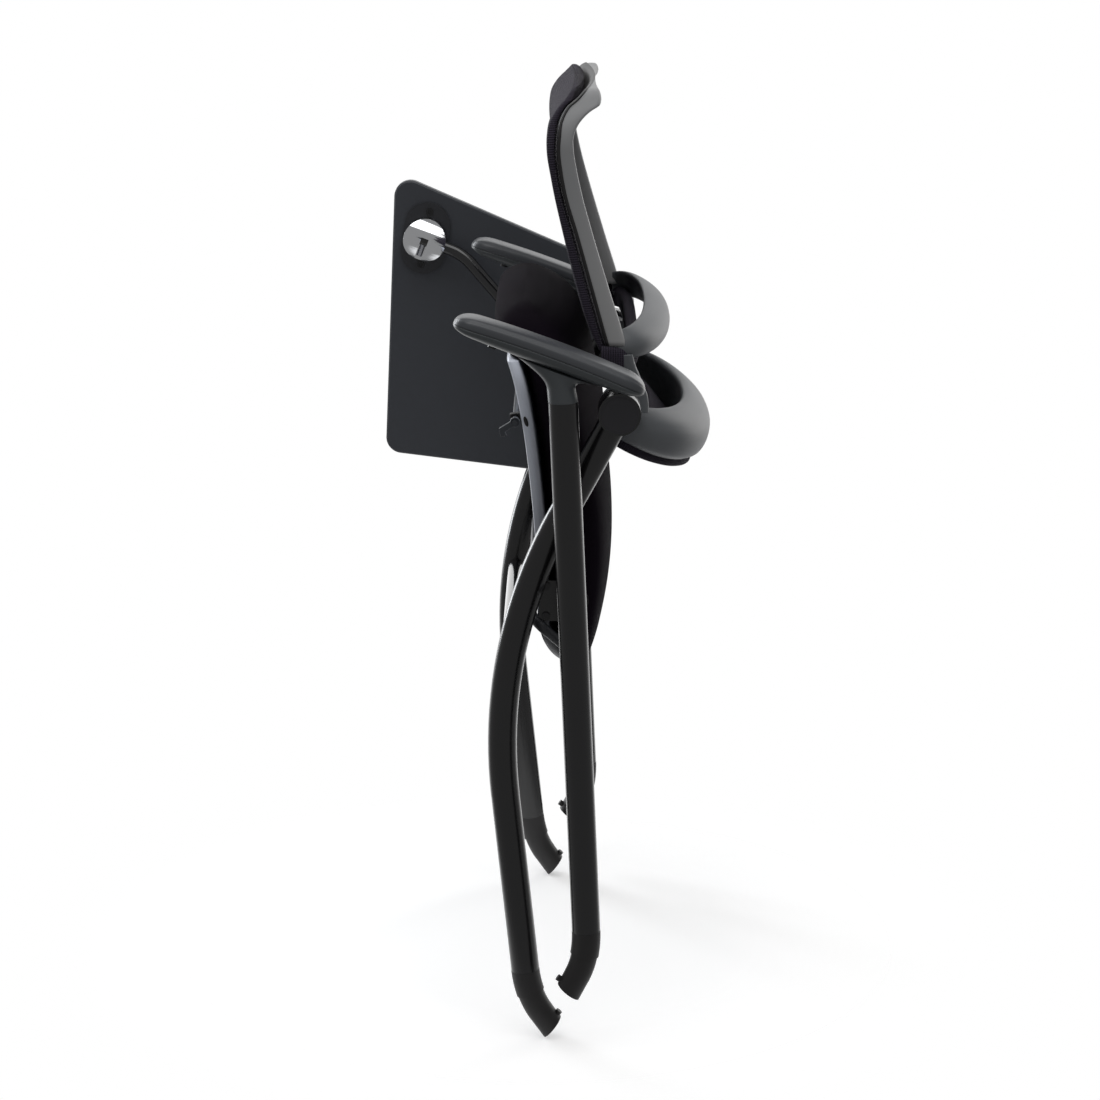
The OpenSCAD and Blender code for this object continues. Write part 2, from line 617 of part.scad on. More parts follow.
// Seat: [along, underside, sitting side] in shares of its length and thickness
seat_low = -199;
seat_shares = [
  [0, 0.06, 0.2], [0.023, -0.07, 0.27], [0.054, -0.2, 0.34], [0.1, -0.32, 0.415],
  [0.149, -0.38, 0.47], [0.228, -0.395, 0.54], [0.356, -0.415, 0.585], [0.459, -0.45, 0.56],
  [0.587, -0.51, 0.43], [0.726, -0.6, 0.26], [0.844, -0.72, 0.13], [0.92, -0.845, 0.05],
  [0.959, -0.9, -0.05], [0.985, -0.88, -0.22], [1, -0.76, -0.4]];
function seat_z(share) = seat_low + share * seat_len;
function seat_half(share) =
  let (d = min(share, 1 - share) * seat_len, r = seat_corner_r, q = max(r - d, 0))
  seat_half_w - r + sqrt(max(r * r - q * q, pow(r / 4, 2)));
function shell_here(row) = min(shell_t, 0.45 * (row[2] - row[1]) * seat_t);
// The shell stops below the front roll, where the cushion takes the full thickness
roll_from = 0.878;
shell_end = [roll_from, -0.776, 0.09];
module seat_shell() {
  rows = [for (i = [0 : len(seat_shares) - 1]) if (seat_shares[i][0] < roll_from) seat_shares[i]];
  color("#8c919e") chair_frame() skin([for (row = concat(rows, [shell_end]))
    let (t = shell_here(row), x = row[1] * seat_t + t / 2)
    [for (j = [0 : 2 * skin_points - 1])
      let (q = ring_point(360 * j / (2 * skin_points), seat_half(row[0]), t / 2, 9))
      [x - q[1], q[0], seat_z(row[0])]]]);
}
cushion_in = 2;
crown = 0.1;
roll_step = 0.001;
roll_out = 0.06;
module seat_cushion() {
  inner = [for (row = seat_shares) if (row[0] < roll_from)
    [row[0], row[1] * seat_t + shell_here(row) + seat_gap, row[2] * seat_t]];
  brim = [for (k = [0, 1]) [shell_end[0] + (k + 1) * roll_step,
    shell_end[1] * seat_t + (1 - k) * (shell_t + seat_gap), shell_end[2] * seat_t]];
  roll = [for (row = seat_shares) if (row[0] > roll_from)
    [row[0], (row[1] - roll_out * sin(180 * (row[0] - roll_from) / (1 - roll_from))) * seat_t,
     row[2] * seat_t]];
  color("#2d2830") chair_frame() skin([for (row = concat(inner, brim, roll))
    let (low = row[1], high = row[2], t = high - low, half_y = seat_half(row[0]) - cushion_in)
    [for (j = [0 : 2 * skin_points - 1])
      let (q = ring_point(360 * j / (2 * skin_points), half_y, t / 2, 4.4),
        lift = q[1] > 0 ? 1 + crown * (1 - pow(q[0] / half_y, 2)) - crown : 1)
      [(low + high) / 2 + q[1] * lift, -q[0], seat_z(row[0])]]]);
}
seat_bracket_t = 4;
bracket_gap = 0.3;
bracket_plate_r = 17;
bracket_arm = 22;
bracket_lug = 46;
module seat_bracket(side) {
  near = seat_half_w + bracket_gap + seat_bracket_t;
  foot_x = -0.37 * seat_t;
  color("#151517") on_side(side) difference() {
    union() {
      across(seat_pin_at[0], seat_pin_at[1], -near, seat_bracket_t, bracket_plate_r);
      translate([foot_x, -near, seat_pin_at[1] - bracket_arm])
        cube([seat_pin_at[0] - foot_x, seat_bracket_t, 2 * bracket_arm]);
      translate([seat_pin_at[0] - 1.6 * seat_tube_r, -near, seat_pin_at[1] - bracket_lug])
        cube([3.2 * seat_tube_r, seat_bracket_t, bracket_lug]);
    }
    across(seat_pin_at[0], seat_pin_at[1], -near - over, seat_bracket_t + 2 * over,
      seat_pin_d / 2 + run_clear);
    seat_tube_end(2 * run_clear);
  }
}
module seat_bracket_screws() {
  near = seat_half_w + bracket_gap + seat_bracket_t;
  color("#55585a") for (side = [left, right], way = [-1, 1]) on_side(side)
    across(-0.28 * seat_t, seat_pin_at[1] + way * (bracket_arm - screw_head_r - over),
      -near - screw_head_t, screw_head_t, screw_head_r);
}
// Tube under the seat: straight across, both ends bent back round the corners
seat_tube_r = 5.5;
seat_tube_bend_r = 20;
seat_tube_end = 34;
seat_tube_y = 230;
seat_tube_x = -0.395 * seat_t - seat_tube_r - run_clear;
seat_tube_z = -128;
seat_tube_slope = 41;
module seat_tube_end(grow) {
  translate([seat_tube_x, seat_tube_bend_r - seat_tube_y, seat_tube_z]) rotate([0, seat_tube_slope, 0]) {
    translate([seat_tube_bend_r, 0, 0]) rotate([0, 0, 180])
      rotate_extrude(angle = 90, $fn = 96) translate([seat_tube_bend_r, 0])
        circle(r = seat_tube_r + bend_full + grow);
    translate([seat_tube_bend_r - lap, -seat_tube_bend_r, 0]) rotate([0, 90, 0])
      cylinder(h = seat_tube_end + grow, r = seat_tube_r + grow);
  }
}
module seat_tube() {
  half = seat_tube_y - seat_tube_bend_r + lap;
  color("#0d0d0f") chair_frame() {
    across(seat_tube_x, seat_tube_z, -half, 2 * half, seat_tube_r);
    for (side = [left, right]) mirror([0, side > 0 ? 1 : 0, 0]) seat_tube_end(0);
  }
}
// Latch: a rod across the shell in two lugs, with a hook at each side that grips
// the front cross tube when the chair is open
latch_rod_r = 3;
latch_x = -55.5;
latch_z = 80;
latch_y = 212;
hook_t = 6;
hook_r = 5;
hook_len = 15.6;
hook_lean = 58.4;
nose_lean = -11;
nose_len = 7;
lug_t = 10;
lug_y = 186;
lug_lean = -9;
module latch_rod() {
  color("#8c8f94") chair_frame()
    across(latch_x, latch_z, -latch_y - hook_t - leg_wall, 2 * (latch_y + hook_t + leg_wall), latch_rod_r);
}
// One outline for a hook: an eye round the rod, a shank and a nose turned down
hook_eye = hook_r * tan(22.5);
hook_neck = hook_r + hook_eye - latch_rod_r;
nose_turn = nose_lean - hook_lean;
nose_mitre = latch_rod_r * tan(abs(nose_turn) / 2);
function nose_point(along, beside) =
  [beside * cos(nose_turn) - along * sin(nose_turn),
   -hook_len - beside * sin(nose_turn) - along * cos(nose_turn)];
hook_outline = [
  [latch_rod_r, -hook_neck], [hook_r, -hook_eye], [hook_r, hook_eye], [hook_eye, hook_r],
  [-hook_eye, hook_r], [-hook_r, hook_eye], [-hook_r, -hook_eye], [-latch_rod_r, -hook_neck],
  [-latch_rod_r, -hook_len - nose_mitre], nose_point(nose_len, -latch_rod_r),
  nose_point(nose_len, latch_rod_r), [latch_rod_r, nose_mitre - hook_len]];
module latch_hooks() {
  color("#6f747c") for (side = [left, right]) on_side(side) translate([0, -latch_y - hook_t, 0])
    difference() {
      at([latch_x, latch_z, hook_lean]) translate([0, hook_t, 0]) rotate([90, 0, 0])
        linear_extrude(hook_t) polygon(hook_outline);
      across(latch_x, latch_z, -over, hook_t + 2 * over, latch_rod_r + run_clear);
    }
}
module latch_lugs() {
  color("#151517") for (side = [left, right]) on_side(side) translate([0, -lug_y - lug_t, 0])
    difference() {
      at([latch_x, latch_z, lug_lean]) translate([-hook_r, 0, -hook_r])
        cube([2 * hook_r + bracket_gap, lug_t, 2 * hook_r]);
      across(latch_x, latch_z, -over, lug_t + 2 * over, latch_rod_r + run_clear);
    }
}

// Writing tablet: rod in a socket on the right rear leg, drum, oval plate, top
rod_slope = 20.9;
rod_r = rod_d / 2;
rod_first = 34;
rod_bend_r = 60;
rod_turn = 30;
rod_roll = 28;
rod_second = 168;
rod_past = 8;
socket_len = 46;
socket_wall = 5;
socket_z = 20;
socket_h = 34;
module at_rod() {
  chair_frame() translate([-drum_x, rod_y, drum_z]) rotate([0, rod_slope - 90, 0]) children();
}
module past_bend() {
  translate([0, 0, -rod_first]) rotate([0, 0, rod_roll])
    translate([-rod_bend_r * (1 - cos(rod_turn)), 0, -rod_bend_r * sin(rod_turn)])
      rotate([0, rod_turn, 0]) children();
}
module tablet_rod() {
  color("#0d0d0f") at_rod() difference() {
    bent_rod();
    rotate([0, -90, 0]) cylinder(h = rod_d, r = pin_r + run_clear);
  }
}
module bent_rod() {
  union() {
    run_rod(rod_first + lap, rod_r, rod_past);
    translate([0, 0, -rod_first]) rotate([0, 0, rod_roll]) bend_rod(rod_bend_r, rod_turn, rod_r);
    past_bend() run_rod(rod_second, rod_r, lap);
  }
}
module tablet_socket() {
  color("#1c1a1b") difference() {
    union() {
      at_rod() past_bend() translate([0, 0, -rod_second - socket_wall])
        cylinder(h = socket_len, r = rod_r + socket_wall);
      chair_frame() translate([0, rear_leg_y, 0]) at([0, 0, rear_lean])
        translate([-leg_r, 0, socket_z]) cube([leg_d, leg_r + 3 * socket_wall, socket_h]);
    }
    at_rod() past_bend() run_rod(rod_second, rod_r + run_clear, over);
    chair_frame() translate([0, rear_leg_y, 0]) at(rear_top)
      run_rod(rear_leg_above + rear_leg_below, leg_r + run_clear);
  }
}
// A pin through the rod runs in a slot of the drum and stops it after a quarter turn
vault_r = 32;
slot_w = 9;
pin_r = 3.4;
pin_share = 0.8;
module tablet_stop_pin() {
  color("#77797c") at_rod() rotate([0, -90, 0]) translate([0, 0, run_clear])
    cylinder(h = drum_d * pin_share / 2, r = pin_r);
}
module stop_slot() {
  translate([0, 0, -slot_w / 2]) {
    rotate([0, 0, 180]) rotate_extrude(angle = 90) translate([rod_r / 2, 0]) square([drum_d, slot_w]);
    for (turn = [180, 270]) rotate([0, 0, turn]) translate([0, -pin_r - run_clear, 0])
      cube([drum_d, 2 * pin_r + 2 * run_clear, slot_w]);
  }
}
swivel_pin_r = 9;
swivel_pin_len = 5;
module tablet_drum() {
  color("#b9bcc0") difference() {
    chair_frame() intersection() {
      across(-drum_x, drum_z, drum_near_y, drum_len, drum_d / 2);
      translate([-drum_x, drum_near_y + vault_r, drum_z]) rotate([0, rod_slope + 90, 0])
        translate([0, 0, -drum_d]) cylinder(h = 2 * drum_d, r = vault_r, $fn = 128);
    }
    at_rod() run_rod(drum_d, rod_r + run_clear, rod_past + run_clear);
    at_rod() stop_slot();
    chair_frame() across(-drum_x, drum_z, drum_near_y + drum_len - swivel_pin_len - run_clear,
      swivel_pin_len + over, swivel_pin_r + run_clear);
  }
}
module tablet_swivel_pin() {
  color("silver") chair_frame() across(-drum_x, drum_z, drum_near_y + drum_len - swivel_pin_len,
    swivel_pin_len + run_clear, swivel_pin_r);
}
oval_tilt = 10;
module tablet_oval_plate() {
  color("#2a2c30") chair_frame()
    translate([-drum_x, drum_near_y + drum_len + run_clear, drum_z]) rotate([0, oval_tilt, 0])
      rotate([-90, 0, 0]) {
        for (way = [-1, 1]) translate([0, way * (oval_len - oval_w) / 2, 0])
          cylinder(h = oval_t - 2 * run_clear, r = oval_w / 2);
        translate([-oval_w / 2, (oval_w - oval_len) / 2, 0])
          cube([oval_w, oval_len - oval_w, oval_t - 2 * run_clear]);
      }
}
tablet_screw_reach = 33;
module tablet_screws() {
  color("#4b4d50") chair_frame() for (way = [-1, 1])
    translate([-drum_x, drum_near_y + drum_len, drum_z]) rotate([0, oval_tilt, 0])
      translate([0, 0, way * tablet_screw_reach]) rotate([90, 0, 0]) difference() {
        cylinder(h = screw_head_t, r = screw_head_r);
        translate([0, 0, screw_head_t / 2]) cylinder(h = screw_head_t, r = screw_r, $fn = 6);
      }
}
// Corners of the tablet top in shares of its width and height, from the drum
tablet_w = 256;
tablet_h = 342;
tablet_shares = [[-0.148, 0.205], [0.845, -0.067], [0.81, -0.874], [-0.202, -0.793]];
module tablet_top() {
  color("#2d2f34") chair_frame() translate([-drum_x, tablet_near_y, drum_z]) hull()
    for (corner = tablet_shares) {
      in = [for (k = corner) sign(k) * tablet_corner_r];
      inward = corner[1] > -0.5 ? -1 : 1;
      place = [corner[0] * tablet_w - in[0], corner[1] * tablet_h + inward * tablet_corner_r];
      translate([place[0], leg_wall, place[1]]) rotate([-90, 0, 0])
        cylinder(h = tablet_t - leg_wall, r = tablet_corner_r, $fn = 2 * hull_fn);
      translate([place[0], 0, place[1]]) rotate([-90, 0, 0])
        cylinder(h = tablet_t, r = tablet_corner_r - leg_wall, $fn = 2 * hull_fn);
    }
}

module left_pivot_stud() pivot_stud(left);
module right_pivot_stud() pivot_stud(right);
module left_rear_leg() rear_leg(left);
module right_rear_leg() rear_leg(right);
module left_rear_collar() collar(rear_seam, left, rear_leg_y, collar_turn);
module right_rear_collar() collar(rear_seam, right, rear_leg_y, collar_turn);
module rear_foot(side)
  foot(rear_seam, side, rear_leg_y, 1, rear_foot_turn, rear_foot_run, rear_sole_lean);
module left_rear_foot() rear_foot(left);
module right_rear_foot() rear_foot(right);
module left_arm_bracket() arm_bracket(left);
module right_arm_bracket() arm_bracket(right);
module left_arm_base() arm_base(left);
module right_arm_base() arm_base(right);
module left_arm_pad() arm_pad(left);
module right_arm_pad() arm_pad(right);
module left_seat_pin() seat_pin(left);
module right_seat_pin() seat_pin(right);
module left_front_leg() front_leg(left);
module right_front_leg() front_leg(right);
module left_front_collar() collar(front_seam, left, front_leg_y, -collar_turn);
module right_front_collar() collar(front_seam, right, front_leg_y, -collar_turn);
module front_foot(side)
  foot(front_seam, side, front_leg_y, -1, front_foot_turn, front_foot_run, front_sole_lean);
module left_front_foot() front_foot(left);
module right_front_foot() front_foot(right);
module left_hub() hub(left);
module right_hub() hub(right);
module left_hub_cap() hub_cap(left);
module right_hub_cap() hub_cap(right);
module left_hub_bush() hub_bush(left);
module right_hub_bush() hub_bush(right);
module left_hub_spindle() hub_spindle(left);
module right_hub_spindle() hub_spindle(right);
module left_back_link() back_link(left);
module right_back_link() back_link(right);
module left_seat_bracket() seat_bracket(left);
module right_seat_bracket() seat_bracket(right);

left_pivot_stud();
right_pivot_stud();
left_rear_leg();
right_rear_leg();
left_rear_collar();
right_rear_collar();
left_rear_foot();
right_rear_foot();
left_arm_bracket();
right_arm_bracket();
left_arm_base();
right_arm_base();
left_arm_pad();
right_arm_pad();
arm_screws();
left_seat_pin();
right_seat_pin();
left_front_leg();
right_front_leg();
left_front_collar();
right_front_collar();
left_front_foot();
right_front_foot();
front_cross_tube();
left_hub();
right_hub();
left_hub_cap();
right_hub_cap();
left_hub_bush();
right_hub_bush();
left_hub_spindle();
right_hub_spindle();
left_back_link();
right_back_link();
back_frame();
upper_bow();
lower_bow();
back_knit_pad();
lumbar_cover();
seat_shell();
seat_cushion();
left_seat_bracket();
right_seat_bracket();
seat_bracket_screws();
seat_tube();
latch_lugs();
latch_rod();
latch_hooks();
tablet_socket();
tablet_rod();
tablet_stop_pin();
tablet_drum();
tablet_swivel_pin();
tablet_oval_plate();
tablet_screws();
tablet_top();
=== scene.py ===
import math
import bpy
import numpy as np
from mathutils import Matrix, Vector


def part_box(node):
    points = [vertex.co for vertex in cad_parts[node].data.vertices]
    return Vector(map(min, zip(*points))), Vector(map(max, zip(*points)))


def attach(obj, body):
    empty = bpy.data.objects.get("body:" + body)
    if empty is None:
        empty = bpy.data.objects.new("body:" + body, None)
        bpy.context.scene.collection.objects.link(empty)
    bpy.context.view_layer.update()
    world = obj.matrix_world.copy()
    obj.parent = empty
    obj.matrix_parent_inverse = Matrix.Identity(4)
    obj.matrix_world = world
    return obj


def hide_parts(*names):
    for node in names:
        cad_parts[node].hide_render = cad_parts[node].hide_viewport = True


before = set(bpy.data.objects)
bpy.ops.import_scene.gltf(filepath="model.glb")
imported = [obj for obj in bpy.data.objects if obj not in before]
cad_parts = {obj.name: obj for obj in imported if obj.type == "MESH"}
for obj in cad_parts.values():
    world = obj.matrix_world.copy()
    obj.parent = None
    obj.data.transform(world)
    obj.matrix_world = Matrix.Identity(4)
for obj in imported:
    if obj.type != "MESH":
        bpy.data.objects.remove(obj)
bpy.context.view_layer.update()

# Placing: the crossing pivot of the legs is the sketch origin, in millimetres,
# u towards the back, y towards the tablet, w up. It is read off the two studs.
stud_low, stud_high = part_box("left_pivot_stud")
far_low, far_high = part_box("right_pivot_stud")
pivot = Vector(((stud_low[0] + stud_high[0]) / 2, (stud_low[1] + far_high[1]) / 2,
                (stud_low[2] + stud_high[2]) / 2))


def spot(u, y, w):
    return pivot + Vector((u, y, w)) / 1000


# Tube legs: powder-coated steel, near black with a satin gloss. Hub housings and the
# side brackets of the seat have the same coat. The solids are CAD; only the coat is
# made here, with a very fine orange peel in the gloss.
def coat(name, colour, rough, metal=0.0, peel=0.0, size=900.0, clear=0.0):
    """A painted or moulded surface: a fine grain of this size, and slightly uneven gloss."""
    peel_deep, gloss_spread = 0.0002, 0.04
    skin = bpy.data.materials.new(name)
    skin.use_nodes = True
    tree = skin.node_tree
    base = tree.nodes["Principled BSDF"]
    base.inputs["Base Color"].default_value = (*colour, 1)
    base.inputs["Metallic"].default_value = metal
    base.inputs["Roughness"].default_value = rough
    base.inputs["Coat Weight"].default_value = clear
    base.inputs["Coat Roughness"].default_value = 0.12
    place = tree.nodes.new("ShaderNodeTexCoord")
    grain = tree.nodes.new("ShaderNodeTexNoise")
    grain.inputs["Scale"].default_value = size
    grain.inputs["Detail"].default_value = 3
    tree.links.new(place.outputs["Object"], grain.inputs["Vector"])
    if peel > 0:
        bump = tree.nodes.new("ShaderNodeBump")
        bump.inputs["Strength"].default_value = peel
        bump.inputs["Distance"].default_value = peel_deep
        tree.links.new(grain.outputs["Fac"], bump.inputs["Height"])
        tree.links.new(bump.outputs["Normal"], base.inputs["Normal"])
    wear = tree.nodes.new("ShaderNodeTexNoise")
    wear.inputs["Scale"].default_value = 14
    wear.inputs["Detail"].default_value = 5
    tree.links.new(place.outputs["Object"], wear.inputs["Vector"])
    span = tree.nodes.new("ShaderNodeMapRange")
    span.inputs["To Min"].default_value = max(rough - gloss_spread, 0.02)
    span.inputs["To Max"].default_value = min(rough + gloss_spread, 1)
    tree.links.new(wear.outputs["Fac"], span.inputs["Value"])
    tree.links.new(span.outputs["Result"], base.inputs["Roughness"])
    return skin


def dress(skin, *names):
    """Gives the CAD solids of these names this surface."""
    for one in names:
        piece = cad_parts[one]
        for number in range(max(len(piece.material_slots), 1)):
            if piece.material_slots:
                piece.material_slots[number].material = skin
            else:
                piece.data.materials.append(skin)


leg_coat = coat("leg_coat", (0.006, 0.0058, 0.0065), 0.24, peel=0.12, size=700, clear=0.25)
dress(leg_coat, "left_rear_leg", "right_rear_leg", "left_front_leg", "right_front_leg",
      "left_hub", "right_hub", "left_seat_bracket", "right_seat_bracket")

# Feet and elbow collars: moulded black plastic with a matt grain, pushed on to the ends
# of the tubes. The socket of the tablet rod is of the same plastic. CAD solids.
foot_skin = coat("foot_skin", (0.0065, 0.0055, 0.006), 0.5, peel=0.35, size=1500)
dress(foot_skin, "left_rear_collar", "right_rear_collar", "left_front_collar", "right_front_collar",
      "left_rear_foot", "right_rear_foot", "left_front_foot", "right_front_foot", "tablet_socket")

# Pins, studs and screws: turned bright steel pins in the joints, and blackened socket
# heads in the brackets and under the tablet. CAD solids.
pin_skin = coat("pin_skin", (0.55, 0.55, 0.57), 0.28, metal=1.0, peel=0.1, size=1200)
dress(pin_skin, "left_pivot_stud", "right_pivot_stud", "left_seat_pin", "right_seat_pin",
      "tablet_swivel_pin", "tablet_stop_pin")
screw_skin = coat("screw_skin", (0.012, 0.012, 0.013), 0.22, metal=0.2)
dress(screw_skin, "arm_screws", "seat_bracket_screws", "tablet_screws")

# Cross tube and tablet rod: gloss black paint on bent steel tube. The tube under the
# seat has a duller, greyer coat. CAD solids.
gloss_skin = coat("gloss_skin", (0.006, 0.006, 0.007), 0.12, peel=0.04, size=500, clear=0.6)
dress(gloss_skin, "front_cross_tube", "tablet_rod")
tube_skin = coat("tube_skin", (0.03, 0.032, 0.038), 0.4, peel=0.1, size=900)
dress(tube_skin, "seat_tube")

# Hub caps and bushes: a satin disc let into each housing, and the rubber behind it that
# the spindle of the back twists in. CAD solids.
cap_skin = coat("cap_skin", (0.017, 0.016, 0.021), 0.34, peel=0.2, size=1500)
dress(cap_skin, "left_hub_cap", "right_hub_cap")
rubber_skin = coat("rubber_skin", (0.012, 0.012, 0.012), 0.7, peel=0.3, size=1200)
dress(rubber_skin, "left_hub_bush", "right_hub_bush")


# Arm bases: satin plastic trays under the pads. Each is a skin through rounded half
# rings along a slightly cambered line, finer than the CAD solid that it stands for.
def loft(name, rings):
    """A smooth closed skin through rings of equal counts, with lengths in metres as its UV map."""
    count = len(rings[0])
    steps = len(rings)
    points = [p for one in rings for p in one]
    points.append(Vector(np.mean([list(p) for p in rings[0]], axis=0)))
    points.append(Vector(np.mean([list(p) for p in rings[-1]], axis=0)))
    faces = []
    for i in range(steps - 1):
        for j in range(count):
            k = (j + 1) % count
            faces.append((i * count + j, (i + 1) * count + j, (i + 1) * count + k, i * count + k))
    for j in range(count):
        k = (j + 1) % count
        faces.append((len(points) - 2, j, k))
        faces.append((len(points) - 1, (steps - 1) * count + k, (steps - 1) * count + j))
    mesh = bpy.data.meshes.new(name)
    mesh.from_pydata([tuple(p) for p in points], [], faces)
    around = [0.0]
    middle = rings[steps // 2]
    for j in range(count):
        around.append(around[-1] + (middle[(j + 1) % count] - middle[j]).length)
    line = np.array([[list(p) for p in one] for one in rings])
    along = np.zeros((steps, count))
    along[1:] = np.cumsum(np.linalg.norm(np.diff(line, axis=0), axis=2), axis=0)
    layer = mesh.uv_layers.new(name="lengths")
    for face in mesh.polygons:
        low = min(mesh.loops[n].vertex_index % count for n in face.loop_indices)
        for n in face.loop_indices:
            v = mesh.loops[n].vertex_index
            if v >= steps * count:
                layer.data[n].uv = (around[low], along[-1][low] if v == len(points) - 1 else 0)
                continue
            j = v % count
            if j == 0 and face.index % count == count - 1 and face.index < (steps - 1) * count:
                j = count
            layer.data[n].uv = (around[j], along[v // count][v % count])
    mesh.polygons.foreach_set("use_smooth", [True] * len(mesh.polygons))
    mesh.update()
    piece = bpy.data.objects.new(name, mesh)
    bpy.context.scene.collection.objects.link(piece)
    return piece


def even(points, count, ring=True):
    """The same line with evenly spaced points."""
    p = np.array(points, dtype=float)
    if ring:
        p = np.vstack([p, p[:1]])
    run = np.concatenate([[0], np.cumsum(np.linalg.norm(np.diff(p, axis=0), axis=1))])
    want = np.linspace(0, run[-1], count + 1)[:-1] if ring else np.linspace(0, run[-1], count)
    return np.stack([np.interp(want, run, p[:, k]) for k in range(p.shape[1])], axis=1)


def oval(half_w, half_h, power, count, low=0, high=360):
    """An oval that is squarer as the power grows, or a part of it, with evenly spaced points."""
    turn = np.radians(np.linspace(low, high, 721))
    c, s = np.cos(turn), np.sin(turn)
    x = half_w * np.sign(c) * np.abs(c) ** (2 / power)
    z = half_h * np.sign(s) * np.abs(s) ** (2 / power)
    if high - low == 360:
        return even(np.stack([x, z], axis=1)[:-1], count)
    return even(np.stack([x, z], axis=1), count, ring=False)


def smooth(rows, column, at):
    """A smooth curve through a table: its first column is the place."""
    xs = np.array([r[0] for r in rows], dtype=float)
    ys = np.array([r[column] for r in rows], dtype=float)
    slope = np.gradient(ys, xs)
    i = int(np.clip(np.searchsorted(xs, at) - 1, 0, len(xs) - 2))
    h = xs[i + 1] - xs[i]
    t = min(max((at - xs[i]) / h, 0), 1)
    return float((2 * t**3 - 3 * t**2 + 1) * ys[i] + (t**3 - 2 * t**2 + t) * h * slope[i]
                 + (3 * t**2 - 2 * t**3) * ys[i + 1] + (t**3 - t**2) * h * slope[i + 1])


def eased(low, high, count):
    """Places from low to high, closer together at both ends."""
    return [low + (high - low) * (1 - math.cos(math.pi * i / count)) / 2 for i in range(count + 1)]


arm_len, arm_w, arm_y, arm_slope = 207, 50, 275, math.radians(20.3)
arm_front, arm_level, arm_camber, arm_round = -115, 199, 4, 2.3


def arm_spot(s, across, up, side):
    """The place that is s along the arm from its front end, and up from its parting line."""
    lift = up - arm_camber * (2 * s / arm_len - 1) ** 2
    u = arm_front + s * math.cos(arm_slope) + lift * math.sin(arm_slope)
    w = arm_level - s * math.sin(arm_slope) + lift * math.cos(arm_slope)
    return spot(u, side * (arm_y + across), w)


def arm_fill(s, radius=24):
    """1 along the arm, falling off in its rounded ends."""
    q = 1 - min(min(s, arm_len - s) / radius, 1)
    return max(1 - q**arm_round, 0.0004) ** (1 / arm_round)


base_skin = coat("base_skin", (0.046, 0.052, 0.056), 0.4, peel=0.3, size=1600)
tray_deep, tray_taper, tray_inset, tray_gap = 13, 0.45, 0.4, 0.05
arm_rows = eased(0, arm_len, 60)
for side, word in ((-1, "left"), (1, "right")):
    rings = []
    for s in arm_rows:
        k = arm_fill(s)
        deep = tray_deep * k * (1 - tray_taper * (2 * s / arm_len - 1) ** 2)
        half = oval(k * (arm_w / 2 - tray_inset), deep, 2.6, 48, 180, 360)
        top = [(x, -tray_gap) for x in np.linspace(half[-1][0], half[0][0], 14)[1:-1]]
        ring = [arm_spot(s, -x, z, side) for x, z in [tuple(p) for p in half] + top]
        rings.append(ring if side > 0 else ring[::-1])
    tray = loft(word + "_arm_tray", rings)
    tray.data.materials.append(base_skin)
    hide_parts(word + "_arm_base")
    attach(tray, "rear_frame")

# Arm pads: softer satin plastic on the trays, with a shallow groove between the side
# wall and the crowned top face. Same way of making, with the groove in the ring.
arm_skin = coat("arm_skin", (0.052, 0.056, 0.063), 0.37, peel=0.3, size=1600)
top_high, top_inset, top_gap, top_end = 13, 0.2, 0.3, 25
groove = [
    (0.992, 0.3), (0.965, 0.5), (0.925, 0.64), (0.885, 0.7), (0.855, 0.725), (0.82, 0.79), (0.77, 0.865),
    (0.68, 0.93), (0.5, 0.975), (0.25, 0.995)]
for side, word in ((-1, "left"), (1, "right")):
    rings = []
    for s in arm_rows:
        k = arm_fill(s, top_end)
        w, h = k * (arm_w / 2 - top_inset), top_high * k
        ring = [(w * 0.985, 0.5 * k), (w, 1.6 * k)] + [(w * wide, h * tall) for wide, tall in groove]
        ring = ring + [(0, h)] + [(-x, z) for x, z in ring[::-1]]
        ring = [tuple(p) for p in even(ring, 64, ring=False)]
        ring += [(x, top_gap) for x in np.linspace(ring[-1][0], ring[0][0], 14)[1:-1]]
        line = [arm_spot(s, x, z, side) for x, z in ring]
        rings.append(line if side > 0 else line[::-1])
    pad = loft(word + "_arm_top", rings)
    pad.data.materials.append(arm_skin)
    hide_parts(word + "_arm_pad")
    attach(pad, "rear_frame")

